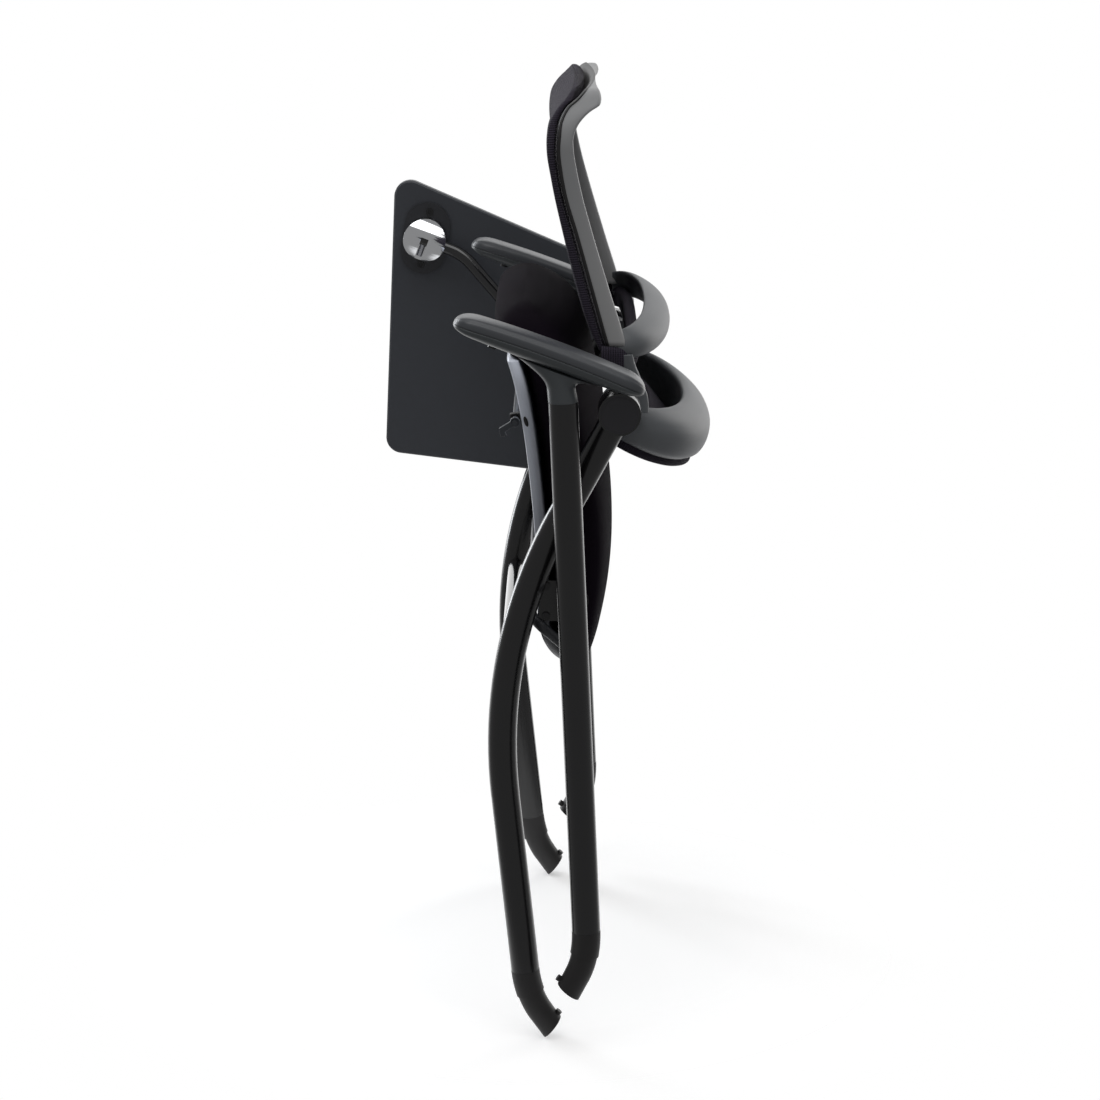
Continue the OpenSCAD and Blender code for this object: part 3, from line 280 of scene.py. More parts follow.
# Arm brackets: cast aluminium tees on the tops of the rear legs, in satin grey paint.
# Each spreads from the round of the tube into a long oval under the tray.
bracket_skin = coat("bracket_skin", (0.05, 0.056, 0.061), 0.38, peel=0.25, size=1400)
lean, leg_y, leg_run = math.radians(-2.5), 284, 115
tee_r, tee_neck, tray_under = 15.2, 0.35, 13.1
front_grow, rear_grow, side_grow = 32.8, 28.8, 4.8
for side, word in ((-1, "left"), (1, "right")):
    foot_u, foot_w = leg_run * math.sin(lean), leg_run * math.cos(lean) + 0.05
    head_s = (foot_u - arm_front) / math.cos(arm_slope)
    head_u = arm_front + head_s * math.cos(arm_slope) - tray_under * math.sin(arm_slope)
    head_w = arm_level - head_s * math.sin(arm_slope) - tray_under * math.cos(arm_slope)
    rings = []
    for i in range(41):
        f = i / 40
        spread = (max(f - tee_neck, 0) / (1 - tee_neck)) ** 2.4
        front = tee_r + front_grow * spread
        rear = tee_r + rear_grow * spread**1.6
        half_y = tee_r + side_grow * f
        tilt = lean + (arm_slope - lean) * f**0.8
        mid_u, mid_w = foot_u + (head_u - foot_u) * f, foot_w + (head_w - foot_w) * f
        mid_y = leg_y + (arm_y - leg_y) * f
        ring = []
        for a in np.linspace(0, 2 * math.pi, 65)[:-1]:
            x = math.cos(a) * (front if math.cos(a) < 0 else rear)
            ring.append(spot(mid_u + x * math.cos(tilt), side * (mid_y - half_y * math.sin(a)),
                             mid_w - x * math.sin(tilt)))
        rings.append(ring if side < 0 else ring[::-1])
    tee = loft(word + "_arm_tee", rings)
    tee.data.materials.append(bracket_skin)
    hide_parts(word + "_arm_bracket")
    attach(tee, "rear_frame")

# Back spindles and side links: satin grey plastic. The spindles are CAD solids; the links
# that carry the back on them are redrawn as smooth straps through the same places.
bow_skin = coat("bow_skin", (0.098, 0.105, 0.113), 0.5, peel=0.3, size=1700)
dress(bow_skin, "left_hub_spindle", "right_hub_spindle")
hub_reach, strap_y, strap_half = 111.6, 207, 7
link_rows = [  # height, middle and width, all in reaches of the hub from the crossing
    [0.8, 0.668, 0.17], [0.9, 0.66, 0.18], [0.978, 0.65, 0.17], [1.066, 0.632, 0.13],
    [1.156, 0.6, 0.125], [1.219, 0.57, 0.13], [1.281, 0.545, 0.14], [1.35, 0.525, 0.15]]
for side, word in ((-1, "left"), (1, "right")):
    rings = []
    for w in np.linspace(link_rows[0][0], link_rows[-1][0], 70):
        middle, half = hub_reach * smooth(link_rows, 1, w), hub_reach * smooth(link_rows, 2, w) / 2
        ring = [spot(middle + x, side * (strap_y - y), hub_reach * w)
                for x, y in oval(half, strap_half, 3.6, 56)]
        rings.append(ring if side < 0 else ring[::-1])
    link = loft(word + "_back_strap", rings)
    link.data.materials.append(bow_skin)
    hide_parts(word + "_back_link")
    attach(link, "back")

# Back frame: side rails that grow into the head rail, one moulded piece, with painted light and
# shade: paler low down and darker higher up. A fine skin follows the same path as the CAD solid, with
# softer outer edges.
def painted_light_by_height(skin, low_w, high_w, low_colour, high_colour):
    """Paints light and shade into the colour: it runs with the height, between two heights above the
    pivot.
    """
    tree = skin.node_tree
    place = [one for one in tree.nodes if one.type == "TEX_COORD"][0]
    height = tree.nodes.new("ShaderNodeSeparateXYZ")
    tree.links.new(place.outputs["Object"], height.inputs["Vector"])
    shade = tree.nodes.new("ShaderNodeMapRange")
    shade.inputs["From Min"].default_value = pivot.z + low_w / 1000
    shade.inputs["From Max"].default_value = pivot.z + high_w / 1000
    tree.links.new(height.outputs["Z"], shade.inputs["Value"])
    tones = tree.nodes.new("ShaderNodeValToRGB")
    tones.color_ramp.elements[0].color = (*low_colour, 1)
    tones.color_ramp.elements[1].color = (*high_colour, 1)
    tree.links.new(shade.outputs["Result"], tones.inputs["Fac"])
    tree.links.new(tones.outputs["Color"], tree.nodes["Principled BSDF"].inputs["Base Color"])


rail_skin = coat("rail_skin", (0.215, 0.218, 0.222), 0.5, peel=0.35, size=1700)
# Painted light and shade: the rail is paler low down and darker higher up.
painted_light_by_height(rail_skin, 170, 330, (0.33, 0.33, 0.332), (0.235, 0.238, 0.243))
back_rows = [  # height, front face, rear face
    [150, 42.6, 62.4], [160, 39.6, 60], [221, 22.5, 41.4], [277, 6.9, 24.6], [314, -4.2, 14.4],
    [343, -9.6, 8.1], [360, -11.4, 5.4], [376.5, -10.5, 5.7], [390, -9.3, 12.9], [400, -5.4, 24.9],
    [405, -2.1, 33.9], [409, 3, 36], [420, 12, 36.6], [450, 21, 37.2]]
half_w, rail_w, corner, rail_low, rail_high = 213, 14, 58, 160, 416
rail_mid, head_w, bend = half_w - rail_w / 2, rail_high - rail_w / 2, corner - rail_w / 2
head_dish, head_thin, thin_half = 14, 8, 200
path = [(-rail_mid, w, 0.0) for w in np.linspace(rail_low, head_w - bend, 46)[:-1]]
for i in range(37):
    a = math.radians(90 * i / 36)
    path.append((-rail_mid + bend * (1 - math.cos(a)), head_w - bend * (1 - math.sin(a)), a))
path += [(-(rail_mid - bend) * (1 - i / 16), head_w, math.pi / 2) for i in range(1, 17)]
path += [(-y, w, math.pi - a) for y, w, a in path[-2::-1]]


def dish_at(y, a):
    """How far the head rail is dished towards the back, at y and at this turn of the path."""
    return head_dish * (1 - (y / rail_mid) ** 2) * math.sin(a)


def rail_half(a):
    """Half the rail's width, which grows from the sides to the head."""
    return rail_w / 2 * (1 + 0.6 * math.sin(a))


rings = []
for y, w, a in path:
    let_in = head_thin * (1 - min(abs(y) / thin_half, 1) ** 3)
    ring = []
    for x, o in oval(1, rail_half(a), 4.2, 56):
        level = w - o * math.sin(a)
        front, rear = smooth(back_rows, 1, level) + dish_at(y, a), smooth(back_rows, 2, level) - let_in
        ring.append(spot((front + rear) / 2 + x * (rear - front) / 2, y + o * math.cos(a), level))
    rings.append(ring)
rail = loft("back_rail", rings)
rail.data.materials.append(rail_skin)
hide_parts("back_frame")
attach(rail, "back")


# Bows: two U-shaped bands in plan behind the back, moulded in the same satin grey plastic
# as the links. Their sections are smooth curves through a few corner points.
def round_section(corners, count):
    """A smooth closed line through the corners, with evenly spaced points."""
    p = np.array(corners, dtype=float)
    fine = []
    n = len(p)
    for i in range(n):
        p0, p1, p2, p3 = p[i - 1], p[i], p[(i + 1) % n], p[(i + 2) % n]
        for t in np.linspace(0, 1, 8, endpoint=False):
            fine.append(0.5 * (2 * p1 + (p2 - p0) * t + (2 * p0 - 5 * p1 + 4 * p2 - p3) * t**2
                               + (3 * p1 - p0 - 3 * p2 + p3) * t**3))
    return even(fine, count)


def round_u(i, count):
    """The angle round a U after i of count steps, which are finer at its ends."""
    return math.pi / 2 * math.sin(-math.pi / 2 + math.pi * i / count)


def mid_share(a):
    """1 in the middle of a U, 0 at its ends."""
    return max(math.cos(a), 0) ** 0.8


def bow_line(a, half_y, reach, power):
    """How far back and how far out a U is at this angle, and the way that its outside faces."""
    c, s = max(math.cos(a), 0), math.sin(a)
    out = np.array([c ** (2 - 2 / power) / reach, np.sign(s) * abs(s) ** (2 - 2 / power) / half_y])
    return reach * c ** (2 / power), half_y * np.sign(s) * abs(s) ** (2 / power), out / np.linalg.norm(out)


def bow(name, half_y, near, middle, thick, high, power, corners):
    """A band round a U; near and middle, thick and high go from its ends to its middle."""
    section = round_section(corners, 56)
    rings = []
    reach = middle[0] - near[0]
    for i in range(97):
        a = round_u(i, 96)
        c = mid_share(a)
        go, y, out = bow_line(a, half_y, reach, power)
        t, h = thick[0] + (thick[1] - thick[0]) * c, high[0] + (high[1] - high[0]) * c
        w = near[1] + (middle[1] - near[1]) * go / reach
        rings.append([spot(near[0] + go + q[0] * t * out[0], y + q[0] * t * out[1], w + q[1] * h)
                      for q in section])
    band = loft(name, rings)
    band.data.materials.append(bow_skin)
    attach(band, "back")
    return band


upper_corners = [
    (-0.3, -0.05), (-0.42, 0.15), (-0.52, 0.36), (-0.5, 0.5), (-0.32, 0.5), (-0.08, 0.42), (0.18, 0.29),
    (0.38, 0.14), (0.5, -0.04), (0.5, -0.2), (0.44, -0.35), (0.3, -0.48), (0.12, -0.52), (-0.02, -0.44),
    (-0.12, -0.32), (-0.21, -0.19)]
upper = bow("upper_band", half_y=205.5, near=(51, 160), middle=(97, 163), thick=(13, 28), high=(27, 34),
            power=2.3, corners=upper_corners)
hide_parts("upper_bow")
hub_lean = math.radians(28.2)
hub_u, hub_w = hub_reach * math.sin(hub_lean), hub_reach * math.cos(hub_lean)
lower_near, lower_middle, lower_high, lower_power = (hub_u + 2, hub_w - 24), (141, 42), (34.8, 58), 2.2
lower_corners = [
    (-0.35, 0.02), (-0.4, 0.2), (-0.46, 0.38), (-0.48, 0.5), (-0.38, 0.56), (-0.2, 0.55), (0.05, 0.45),
    (0.3, 0.3), (0.44, 0.15), (0.5, 0), (0.46, -0.19), (0.35, -0.35), (0.2, -0.46), (0.04, -0.5),
    (-0.12, -0.52), (-0.25, -0.5), (-0.33, -0.36), (-0.34, -0.16)]
lower = bow("lower_band", half_y=200 - 8.3, near=lower_near, middle=lower_middle, thick=(16.5, 33),
            high=lower_high, power=lower_power, corners=lower_corners)
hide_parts("lower_bow")


# Knit pad of the back: ribbed fabric over foam, thin down the rails and a fat roll at
# the head. The ribs are in the cloth: cords that run across it, crossed by finer ones.
# Their tops are painted paler as a highlight and their valleys darker as shade.
def cloth(name, colour, lines, depth, top_highlight, gloss):
    """Fabric with its cords along the piece's lengths; the cords' tops get a painted highlight, of the
    given strength, and the valleys painted shade.
    """
    cross_share, fuzz_share, valley_shade = 0.35, 0.5, 0.35
    skin = bpy.data.materials.new(name)
    skin.use_nodes = True
    tree = skin.node_tree
    base = tree.nodes["Principled BSDF"]
    base.inputs["Roughness"].default_value = 0.82
    base.inputs["Specular IOR Level"].default_value = gloss
    base.inputs["Sheen Weight"].default_value = gloss / 3
    base.inputs["Sheen Roughness"].default_value = 0.4
    place = tree.nodes.new("ShaderNodeUVMap")
    place.uv_map = "lengths"
    ribs = tree.nodes.new("ShaderNodeTexWave")
    ribs.wave_type = "BANDS"
    ribs.bands_direction = "Y"
    ribs.inputs["Scale"].default_value = lines
    ribs.inputs["Distortion"].default_value = 0.6
    ribs.inputs["Detail Scale"].default_value = 60
    tree.links.new(place.outputs["UV"], ribs.inputs["Vector"])
    cross = tree.nodes.new("ShaderNodeTexWave")
    cross.wave_type = "BANDS"
    cross.bands_direction = "X"
    cross.inputs["Scale"].default_value = lines * 1.3
    cross.inputs["Distortion"].default_value = 0.4
    tree.links.new(place.outputs["UV"], cross.inputs["Vector"])
    fuzz = tree.nodes.new("ShaderNodeTexNoise")
    fuzz.inputs["Scale"].default_value = 2600
    fuzz.inputs["Detail"].default_value = 4
    tree.links.new(place.outputs["UV"], fuzz.inputs["Vector"])
    mix = tree.nodes.new("ShaderNodeMath")
    mix.operation = "MULTIPLY_ADD"
    mix.inputs[1].default_value = cross_share
    tree.links.new(cross.outputs["Fac"], mix.inputs[0])
    tree.links.new(ribs.outputs["Fac"], mix.inputs[2])
    add = tree.nodes.new("ShaderNodeMath")
    add.operation = "MULTIPLY_ADD"
    add.inputs[1].default_value = fuzz_share
    tree.links.new(fuzz.outputs["Fac"], add.inputs[0])
    tree.links.new(mix.outputs["Value"], add.inputs[2])
    bump = tree.nodes.new("ShaderNodeBump")
    bump.inputs["Strength"].default_value = 0.9
    bump.inputs["Distance"].default_value = depth
    tree.links.new(add.outputs["Value"], bump.inputs["Height"])
    tree.links.new(bump.outputs["Normal"], base.inputs["Normal"])
    # Painted light and shade on the ribs: valleys darker as shade, cord tops paler as a highlight.
    rib_light_and_shade = tree.nodes.new("ShaderNodeValToRGB")
    rib_light_and_shade.color_ramp.elements[0].position = 0.25
    rib_light_and_shade.color_ramp.elements[0].color = (*[c * valley_shade for c in colour], 1)
    rib_light_and_shade.color_ramp.elements[1].color = (*[min(c * (1 + top_highlight), 1) for c in colour], 1)
    tree.links.new(add.outputs["Value"], rib_light_and_shade.inputs["Fac"])
    tree.links.new(rib_light_and_shade.outputs["Color"], base.inputs["Base Color"])
    return skin


knit_skin = cloth("knit_skin", (0.017, 0.0145, 0.021), lines=125, depth=0.0007, top_highlight=1.7, gloss=0.12)
pad_front = [  # height, front face
    [150, 32.4], [177, 19.2], [223, 4.5], [267.6, -6.3], [331, -19.8], [361, -24.6],
    [376, -24.6], [388, -22.5], [398, -17.1], [408, -9], [416, -1.8], [450, 9]]
knit_low, knit_high, knit_half, knit_corner, knit_gap = 154, 420, 211, 72, 0.3
hollow_deep, hollow_share = 5.5, 0.35
roll_low, roll_run, roll_fat = 385, 20, 8
even_rows, end_rows, even_share = 90, 40, 0.84
rings = []
for i in range(even_rows + end_rows + 1):
    f = even_share * i / even_rows
    if i > even_rows:
        f = even_share + (1 - even_share) * math.sin(math.pi / 2 * (i - even_rows) / end_rows)
    w = knit_low + (knit_high - knit_low) * f
    rise = max(w - (knit_high - knit_corner), 0)
    wide = knit_half - knit_corner + math.sqrt(max(knit_corner**2 - rise**2, 1))
    rear = smooth(back_rows, 1, min(w, head_w)) - knit_gap
    thick = max(rear - smooth(pad_front, 1, w), 2)
    hollow = hollow_deep * (math.sin(math.pi * f / (2 * hollow_share)) if f < hollow_share else 1)
    span = wide if f < hollow_share else rail_mid
    grow = min(max((w - roll_low) / roll_run, 0), 1)
    ring = []
    for y, x in oval(wide, thick / 2, 5, 220):
        swell = roll_fat * grow * -x / (thick / 2) if x < 0 else 0
        ring.append(spot(rear - thick / 2 - x + (1 - (y / span) ** 2) * (hollow + swell), y, w))
    rings.append(ring)
knit = loft("knit_cover", rings)
knit.data.materials.append(knit_skin)
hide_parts("back_knit_pad")
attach(knit, "back")

# Trim: a thin black plastic lip between the rail and the knit, which holds the edge of
# the cloth. It is drawn along the rail's own path, on the rail's front face.
lip_set, lip_half, lip_over = 1.4, 2.4, 0.5
rings = []
for y, w, a in path:
    ring = []
    for x, o in oval(lip_half, rail_half(a) + lip_over, 3, 32):
        level = w - o * math.sin(a)
        u = smooth(back_rows, 1, level) + dish_at(y, a) + lip_set + x
        ring.append(spot(u, y + o * math.cos(a), level))
    rings.append(ring)
trim = loft("rail_trim", rings)
trim.data.materials.append(foot_skin)
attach(trim, "back")

# Knit tail: the cloth turns round the rail feet and runs on below the upper band, in a
# squarer and flatter U of its own.
tail_half, tail_reach, tail_u, tail_w = 212, 35, 34, 146
rings = []
for i in range(97):
    a = round_u(i, 96)
    c = mid_share(a)
    go, y, out = bow_line(a, tail_half, tail_reach, 5)
    t, h = 11 + 3 * c, 27 - 5 * c
    rings.append([spot(tail_u + go + x * out[0], y + x * out[1], tail_w + z - 3 * c)
                  for x, z in oval(t / 2, h / 2, 3, 40)])
tail = loft("knit_tail", rings)
tail.data.materials.append(knit_skin)
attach(tail, "back")

# Lumbar cover: the same cloth on a thin dished board inside the lower band. The board
# leans forward towards its top, and its rings go round the band's own line.
lumbar_half, lumbar_reach, board_half = 0.95 * (200 - 8.25), lower_middle[0] - lower_near[0], 3.5


def lumbar_at(a):
    """How far back and out the board is at this angle, and the middle and height of the band."""
    go, y, out = bow_line(a, lumbar_half, lumbar_reach, lower_power)
    band_w = lower_near[1] + (lower_middle[1] - lower_near[1]) * go / lumbar_reach
    return go, y, band_w, lower_high[1] * (0.6 + 0.4 * mid_share(a))


rings = []
for i in range(91):
    go, y, band_w, tall = lumbar_at(round_u(i, 90))
    low = np.array([lower_near[0] + go - 5, band_w - tall / 2 - 9])
    top = np.array([lower_near[0] + 0.36 * go + 2, band_w - 12 + 34 * go / lumbar_reach])
    way = low - top
    run = np.linalg.norm(way)
    ux = way / run
    ring = []
    for q0, q1 in oval(run / 2, board_half, 4, 72):
        p = (top + low) / 2 + q0 * ux + q1 * np.array([-ux[1], ux[0]])
        ring.append(spot(p[0], y, p[1]))
    rings.append(ring)
lumbar = loft("lumbar_cloth", rings)
lumbar.data.materials.append(knit_skin)
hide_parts("lumbar_cover")
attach(lumbar, "back")

# Stitches: rows of thread, down the knit beside each rail and along the lower rim of the
# lumbar cover. A node tree lays one short length of thread at each step of the lines.
seam_low, seam_high, seam_set, seam_proud = 163, 340, 4.2, 0.1
rim_set, rim_down = 4.9, 9.1
seams = []
for side in (-1, 1):
    line = []
    for w in np.linspace(seam_low, seam_high, 60):
        rear = smooth(back_rows, 1, w) - knit_gap
        half = max(rear - smooth(pad_front, 1, w), 9) / 2
        q = (half - seam_set) / half
        line.append(spot(rear - seam_set, side * (knit_half * (1 - q**5) ** 0.2 + seam_proud), w))
    seams.append(line)
line = []
for i in range(3, 88):
    go, y, band_w, tall = lumbar_at(round_u(i, 90))
    line.append(spot(lower_near[0] + go - rim_set, y, band_w - tall / 2 - rim_down))
seams.append(line)
points, edges = [], []
for line in seams:
    edges += [(len(points) + i, len(points) + i + 1) for i in range(len(line) - 1)]
    points += [tuple(p) for p in line]
mesh = bpy.data.meshes.new("seam_lines")
mesh.from_pydata(points, edges, [])
seam = bpy.data.objects.new("seam_lines", mesh)
bpy.context.scene.collection.objects.link(seam)
thread_skin = coat("thread_skin", (0.05, 0.046, 0.056), 0.6, peel=0.2, size=2500)
sewing = bpy.data.node_groups.new("sewing", "GeometryNodeTree")
sewing.interface.new_socket("Geometry", in_out="INPUT", socket_type="NodeSocketGeometry")
sizes = {}
for word, size in (("Stitch step", 0.0042), ("Stitch length", 0.0027), ("Thread radius", 0.00042)):
    socket = sewing.interface.new_socket(word, in_out="INPUT", socket_type="NodeSocketFloat")
    sizes[socket.identifier] = size
sewing.interface.new_socket("Geometry", in_out="OUTPUT", socket_type="NodeSocketGeometry")
inlet = sewing.nodes.new("NodeGroupInput")
outlet = sewing.nodes.new("NodeGroupOutput")
curve = sewing.nodes.new("GeometryNodeMeshToCurve")
steps = sewing.nodes.new("GeometryNodeCurveToPoints")
steps.mode = "LENGTH"
thread = sewing.nodes.new("GeometryNodeMeshCylinder")
thread.inputs["Vertices"].default_value = 10
lay = sewing.nodes.new("GeometryNodeInstanceOnPoints")
real = sewing.nodes.new("GeometryNodeRealizeInstances")
paint = sewing.nodes.new("GeometryNodeSetMaterial")
paint.inputs["Material"].default_value = thread_skin
sewing.links.new(inlet.outputs["Geometry"], curve.inputs["Mesh"])
sewing.links.new(inlet.outputs["Stitch step"], steps.inputs["Length"])
sewing.links.new(inlet.outputs["Stitch length"], thread.inputs["Depth"])
sewing.links.new(inlet.outputs["Thread radius"], thread.inputs["Radius"])
sewing.links.new(curve.outputs["Curve"], steps.inputs["Curve"])
sewing.links.new(steps.outputs["Points"], lay.inputs["Points"])
sewing.links.new(steps.outputs["Rotation"], lay.inputs["Rotation"])
sewing.links.new(thread.outputs["Mesh"], lay.inputs["Instance"])
sewing.links.new(lay.outputs["Instances"], real.inputs["Geometry"])
sewing.links.new(real.outputs["Geometry"], paint.inputs["Geometry"])
sewing.links.new(paint.outputs["Geometry"], outlet.inputs["Geometry"])
sewn = seam.modifiers.new("sewing", "NODES")
sewn.node_group = sewing
for identifier, size in sizes.items():
    sewn[identifier] = size
bpy.context.view_layer.update()
made = bpy.data.meshes.new_from_object(seam.evaluated_get(bpy.context.evaluated_depsgraph_get()))
bpy.data.objects.remove(seam)
threads = bpy.data.objects.new("back_stitches", made)
bpy.context.scene.collection.objects.link(threads)
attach(threads, "back")

# Seat shell: a satin moulded tray under the seat, with painted shade that darkens its lower end
# and a painted reflection that makes it pale towards the top, and at each side by the latch a dark oval
# sheet, painted shade standing for a recessed slot. Its lugs are CAD solids.
seat_rows = [  # height, outer face of the shell, sitting face of the cushion
    [-199, 5, 17], [-190, -5.8, 22.4], [-178, -16.6, 28.2], [-160, -26.6, 34.4], [-141, -31.5, 39],
    [-110, -32.8, 44.8], [-60, -34.4, 48.6], [-20, -37.4, 46.5], [30, -42.3, 35.7], [84, -49.8, 21.6],
    [130, -59.8, 10.8], [160, -70.1, 4.2], [175, -74.7, -4.2], [185, -73, -18.3], [191, -63.1, -33.2]]
seat_low, seat_high, seat_wide, seat_corner = -199, 191, 222.8, 80
shell_high, shell_thick, shell_share = 143.4, 13.5, 0.45


def seat_half(w):
    """Half the seat's width at this height, with round corners at both ends."""
    q = max(seat_corner - min(w - seat_low, seat_high - w), 0)
    return seat_wide - seat_corner + math.sqrt(max(seat_corner**2 - q * q, 400))


def shell_t(w):
    """The shell's thickness at this height, thinner where the seat itself is thin."""
    return min(shell_thick, shell_share * (smooth(seat_rows, 2, w) - smooth(seat_rows, 1, w)))


shell_skin = coat("shell_skin", (0.16, 0.172, 0.2), 0.34, peel=0.3, size=1500)
# Painted light and shade: dark at the lower end as shade, pale blue-grey towards the top as a reflection.
painted_light_by_height(shell_skin, -160, 130, (0.04, 0.042, 0.049), (0.72, 0.76, 0.86))
rings = []
for w in eased(seat_low, shell_high, 120):
    t = shell_t(w)
    u = smooth(seat_rows, 1, w) + t / 2
    rings.append([spot(u - x, y, w) for y, x in oval(seat_half(w), t / 2, 9, 160)])
shell = loft("seat_tray", rings)
shell.data.materials.append(shell_skin)
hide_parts("seat_shell")
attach(shell, "seat")
dress(foot_skin, "latch_lugs")
slot_shade_u, slot_shade_w, slot_shade_turn, slot_shade_half_u, slot_shade_half_w = -43.9, 82, 0.3, 2.1, 5.6
# Each oval is a thin dark sheet on the shell: painted shade standing for a recessed slot.
for side, word in ((-1, "left"), (1, "right")):
    rings = []
    for out, size in ((222, 0.9), (223.1, 1), (223.3, 0.96)):
        ring = []
        for x, z in oval(slot_shade_half_u * size, slot_shade_half_w * size, 2, 40):
            ring.append(spot(slot_shade_u + x * math.cos(slot_shade_turn) - z * math.sin(slot_shade_turn), side * out,
                             slot_shade_w + z * math.cos(slot_shade_turn) + x * math.sin(slot_shade_turn)))
        rings.append(ring if side < 0 else ring[::-1])
    slot_shade = loft(word + "_latch_slot_shade", rings)
    slot_shade.data.materials.append(foot_skin)
    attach(slot_shade, "seat")

# Seat cushion: foam in a dark, finely woven cover, fuller towards its upper end. One
# skin, squarer at the shell than on the sitting side, and rounded over at both ends.
# The woven cover takes the same painted highlight on its cords and painted shade between them.
seat_skin = cloth("seat_skin", (0.0062, 0.0042, 0.0072), lines=240, depth=0.0003, top_highlight=0.8, gloss=0.03)
cushion_gap, cushion_inset, cushion_sag, cushion_step = 0.3, 2, 5, 2.2
crown_high, crown_low, crown_run, crown_end = 14, 5, 75, 40
rings = []
cuts = []
levels = [w for w in eased(seat_low, seat_high, 120) if w < 185]
for w in sorted(levels + [143.6, 144.0, 144.6, 145.4, 186]):
    low = smooth(seat_rows, 1, w) + shell_t(w) + cushion_gap
    if w > shell_high:
        q = (w - shell_high) / (seat_high - shell_high)
        full = smooth(seat_rows, 1, w) - cushion_sag * math.sin(math.pi * q) ** 0.7
        low = full + (low - full) * max(1 - (w - shell_high) / cushion_step, 0) ** 2
    cuts.append((low, smooth(seat_rows, 2, w), seat_half(w) - cushion_inset, w))
# Both ends are closed by ever thinner cuts along the rest of a quarter round.
for which, start, tall in ((0, 45, 9.4), (-1, 50, 35.5)):
    low, high, wide, w0 = cuts[which]
    middle, half, first = (low + high) / 2, (high - low) / 2, math.radians(start)
    for k in range(1, 15):
        a = first + (math.radians(89.5) - first) * k / 14
        thin = half * math.cos(a) / math.cos(first)
        lift = tall * (math.sin(a) - math.sin(first))
        cut = (middle - thin, middle + thin, wide - 1.6 * (half - thin), w0 + (lift if which else -lift))
        cuts = cuts + [cut] if which else [cut] + cuts
for low, high, wide, w in cuts:
    t = high - low
    rise = min(max((w - crown_low) / crown_run, 0), 1)
    crown = crown_high * rise**2 * (3 - 2 * rise) * max(min(1, (seat_high - w) / crown_end), 0) ** 0.5
    ring = []
    for y, x in oval(wide, t / 2, 4.4, 200):
        flat = 1 - (y / wide) ** 2
        lift = 0.9 + 0.1 * flat if x > 0 else 1
        puff = crown * flat * max(x / (t / 2), 0)
        ring.append(spot((low + high) / 2 + x * lift + puff, -y, w))
    rings.append(ring)
cushion = loft("seat_pad", rings)
cushion.data.materials.append(seat_skin)
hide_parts("seat_cushion")
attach(cushion, "seat")

# Latch: a dark satin steel rod across the shell, which turns in the shell's two lugs and
# has a hook at each side. CAD solids.
latch_skin = coat("latch_skin", (0.05, 0.055, 0.065), 0.35, metal=0.3, peel=0.1)
dress(latch_skin, "latch_rod", "latch_hooks")

# Tablet drum and plate: a polished chrome drum on the rod, and an oval plate in satin
# black that carries the top. CAD solids.
chrome_skin = coat("chrome_skin", (0.78, 0.79, 0.81), 0.09, metal=1.0, peel=0.03, size=300)
dress(chrome_skin, "tablet_drum")
plate_skin = coat("plate_skin", (0.022, 0.023, 0.027), 0.3, peel=0.25, size=1500)
dress(plate_skin, "tablet_oval_plate")

# Tablet top: a thin moulded board with a soft edge all round, satin dark slate, screwed
# to the plate from below. CAD solid.
slate_skin = coat("slate_skin", (0.044, 0.048, 0.057), 0.45, peel=0.3, size=1800)
dress(slate_skin, "tablet_top")

# Edges: small rounded edges on the turned and moulded CAD solids, as a mould or a lathe
# leaves them, so that they catch light.
for one, size in (("left_hub", 0.9), ("right_hub", 0.9), ("left_hub_cap", 0.7), ("right_hub_cap", 0.7),
                  ("tablet_oval_plate", 1.1), ("tablet_drum", 0.6), ("tablet_socket", 1.0),
                  ("latch_hooks", 0.7), ("latch_lugs", 0.6), ("left_seat_bracket", 0.6),
                  ("right_seat_bracket", 0.6), ("tablet_top", 0.9), ("arm_screws", 0.5),
                  ("seat_bracket_screws", 0.5), ("tablet_screws", 0.3)):
    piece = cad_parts[one]
    join = piece.modifiers.new("join", "WELD")
    join.merge_threshold = 0.00001
    edge = piece.modifiers.new("edge", "BEVEL")
    edge.width = size / 1000
    edge.segments = 3
    edge.limit_method = "ANGLE"
    edge.angle_limit = math.radians(38)
    edge.use_clamp_overlap = True
    edge.harden_normals = True

# Floor and backdrop: plain and pale, and fading out round the chair into the white behind
# it. Part of the stage only, not of the object.
bpy.ops.mesh.primitive_plane_add(size=60, location=(0, 0, 0))
floor = bpy.context.object
floor.name = "floor"
floor_skin = bpy.data.materials.new("floor_skin")
floor_skin.use_nodes = True
ground = floor_skin.node_tree.nodes["Principled BSDF"]
ground.inputs["Base Color"].default_value = (0.93, 0.93, 0.93, 1)
ground.inputs["Emission Color"].default_value = (1, 1, 1, 1)
ground.inputs["Emission Strength"].default_value = 0.3
ground.inputs["Roughness"].default_value = 0.9
ground.inputs["Specular IOR Level"].default_value = 0.1
fade_tree = floor_skin.node_tree
where = fade_tree.nodes.new("ShaderNodeTexCoord")
far = fade_tree.nodes.new("ShaderNodeVectorMath")
far.operation = "LENGTH"
fade_tree.links.new(where.outputs["Object"], far.inputs[0])
fade = fade_tree.nodes.new("ShaderNodeMapRange")
fade.inputs["From Min"].default_value = 0.15
fade.inputs["From Max"].default_value = 0.55
fade.interpolation_type = "SMOOTHSTEP"
fade_tree.links.new(far.outputs["Value"], fade.inputs["Value"])
clear = fade_tree.nodes.new("ShaderNodeBsdfTransparent")
blend = fade_tree.nodes.new("ShaderNodeMixShader")
fade_tree.links.new(fade.outputs["Result"], blend.inputs["Fac"])
fade_tree.links.new(ground.outputs["BSDF"], blend.inputs[1])
fade_tree.links.new(clear.outputs["BSDF"], blend.inputs[2])
fade_tree.links.new(blend.outputs["Shader"], fade_tree.nodes["Material Output"].inputs["Surface"])
floor.data.materials.append(floor_skin)

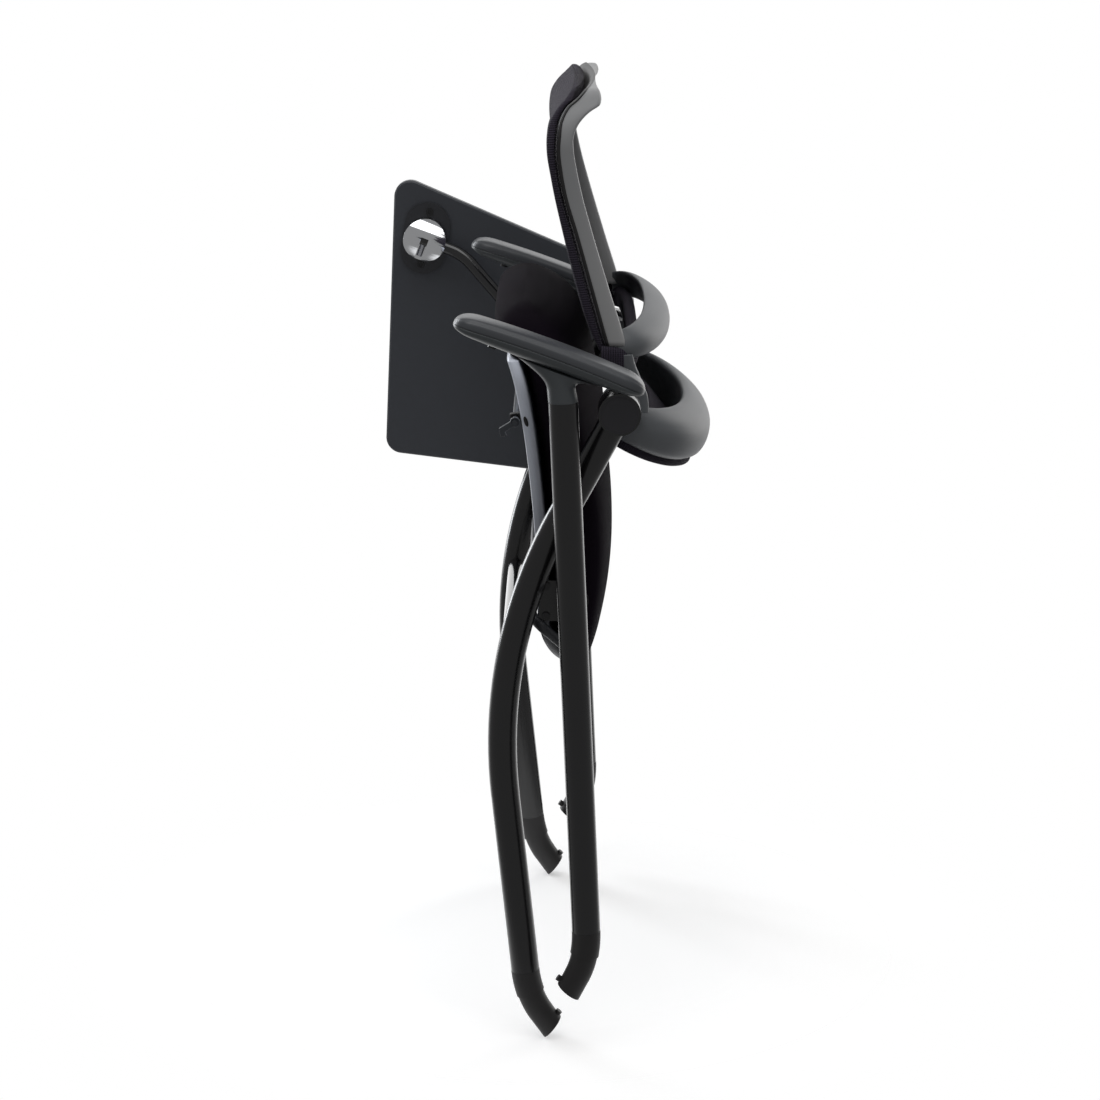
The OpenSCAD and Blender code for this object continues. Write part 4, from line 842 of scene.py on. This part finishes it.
# World: a white cove behind and beside the chair, dim on the camera's side, so that
# dark tubes stay dark in front and take bright edges. What the camera sees is white.
world = bpy.data.worlds.new("tent")
bpy.context.scene.world = world
world.use_nodes = True
sky = world.node_tree
glow = sky.nodes["Background"]
toward = sky.nodes.new("ShaderNodeTexCoord")
parts = sky.nodes.new("ShaderNodeSeparateXYZ")
sky.links.new(toward.outputs["Generated"], parts.inputs["Vector"])
cove = sky.nodes.new("ShaderNodeMapRange")
cove.interpolation_type = "SMOOTHSTEP"
cove.inputs["From Min"].default_value = 0.35
cove.inputs["From Max"].default_value = 0.95
cove.inputs["To Min"].default_value = 0.29
cove.inputs["To Max"].default_value = 1.3
sky.links.new(parts.outputs["Y"], cove.inputs["Value"])
glow.inputs["Color"].default_value = (1, 1, 1, 1)
sky.links.new(cove.outputs["Result"], glow.inputs["Strength"])
path_kind = sky.nodes.new("ShaderNodeLightPath")
white = sky.nodes.new("ShaderNodeBackground")
white.inputs["Color"].default_value = (1, 1, 1, 1)
white.inputs["Strength"].default_value = 1.0
choose = sky.nodes.new("ShaderNodeMixShader")
sky.links.new(path_kind.outputs["Is Camera Ray"], choose.inputs["Fac"])
sky.links.new(glow.outputs["Background"], choose.inputs[1])
sky.links.new(white.outputs["Background"], choose.inputs[2])
sky.links.new(choose.outputs["Shader"], sky.nodes["World Output"].inputs["Surface"])


# Lights: a large soft box above, and two tall ones behind the chair, cool from the left
# and warmer and weaker from the right.
def soft_box(name, place, aim, wide, tall, power, colour):
    data = bpy.data.lights.new(name, "AREA")
    data.shape = "RECTANGLE"
    data.size, data.size_y = wide, tall
    data.energy = power
    data.color = colour
    lamp = bpy.data.objects.new(name, data)
    bpy.context.scene.collection.objects.link(lamp)
    lamp.location = place
    lamp.rotation_euler = (Vector(aim) - Vector(place)).to_track_quat("-Z", "Y").to_euler()
    return lamp


soft_box("top_box", (0, -0.9, 3.2), (0, 0, 0.5), 2.6, 2.2, 34, (1, 1, 1))
soft_box("left_box", (-2.2, 2.0, 1.3), (0, 0, 0.55), 1.0, 2.6, 52, (0.93, 0.96, 1))
soft_box("right_box", (2.0, 2.2, 1.2), (0, 0, 0.55), 0.8, 2.6, 15, (1, 0.97, 0.94))

# Camera: the photo's own place, worked out from the outlines of legs, arms and back. It
# looks down by some 14 degrees, almost square to the chair's side.
eye = bpy.data.cameras.new("eye")
eye.lens = 95.2
eye.sensor_width = 36
eye.clip_end = 100
camera = bpy.data.objects.new("eye", eye)
bpy.context.scene.collection.objects.link(camera)
azimuth, height, distance = math.radians(0.42), math.radians(14.2), 3.287
look = Vector((-math.sin(azimuth) * math.cos(height), math.cos(azimuth) * math.cos(height),
               -math.sin(height)))
target = spot(-20.5, 0, -112)
camera.location = target - look * distance
camera.rotation_euler = look.to_track_quat("-Z", "Y").to_euler()
bpy.context.scene.camera = camera
bpy.context.scene.view_settings.view_transform = "Standard"
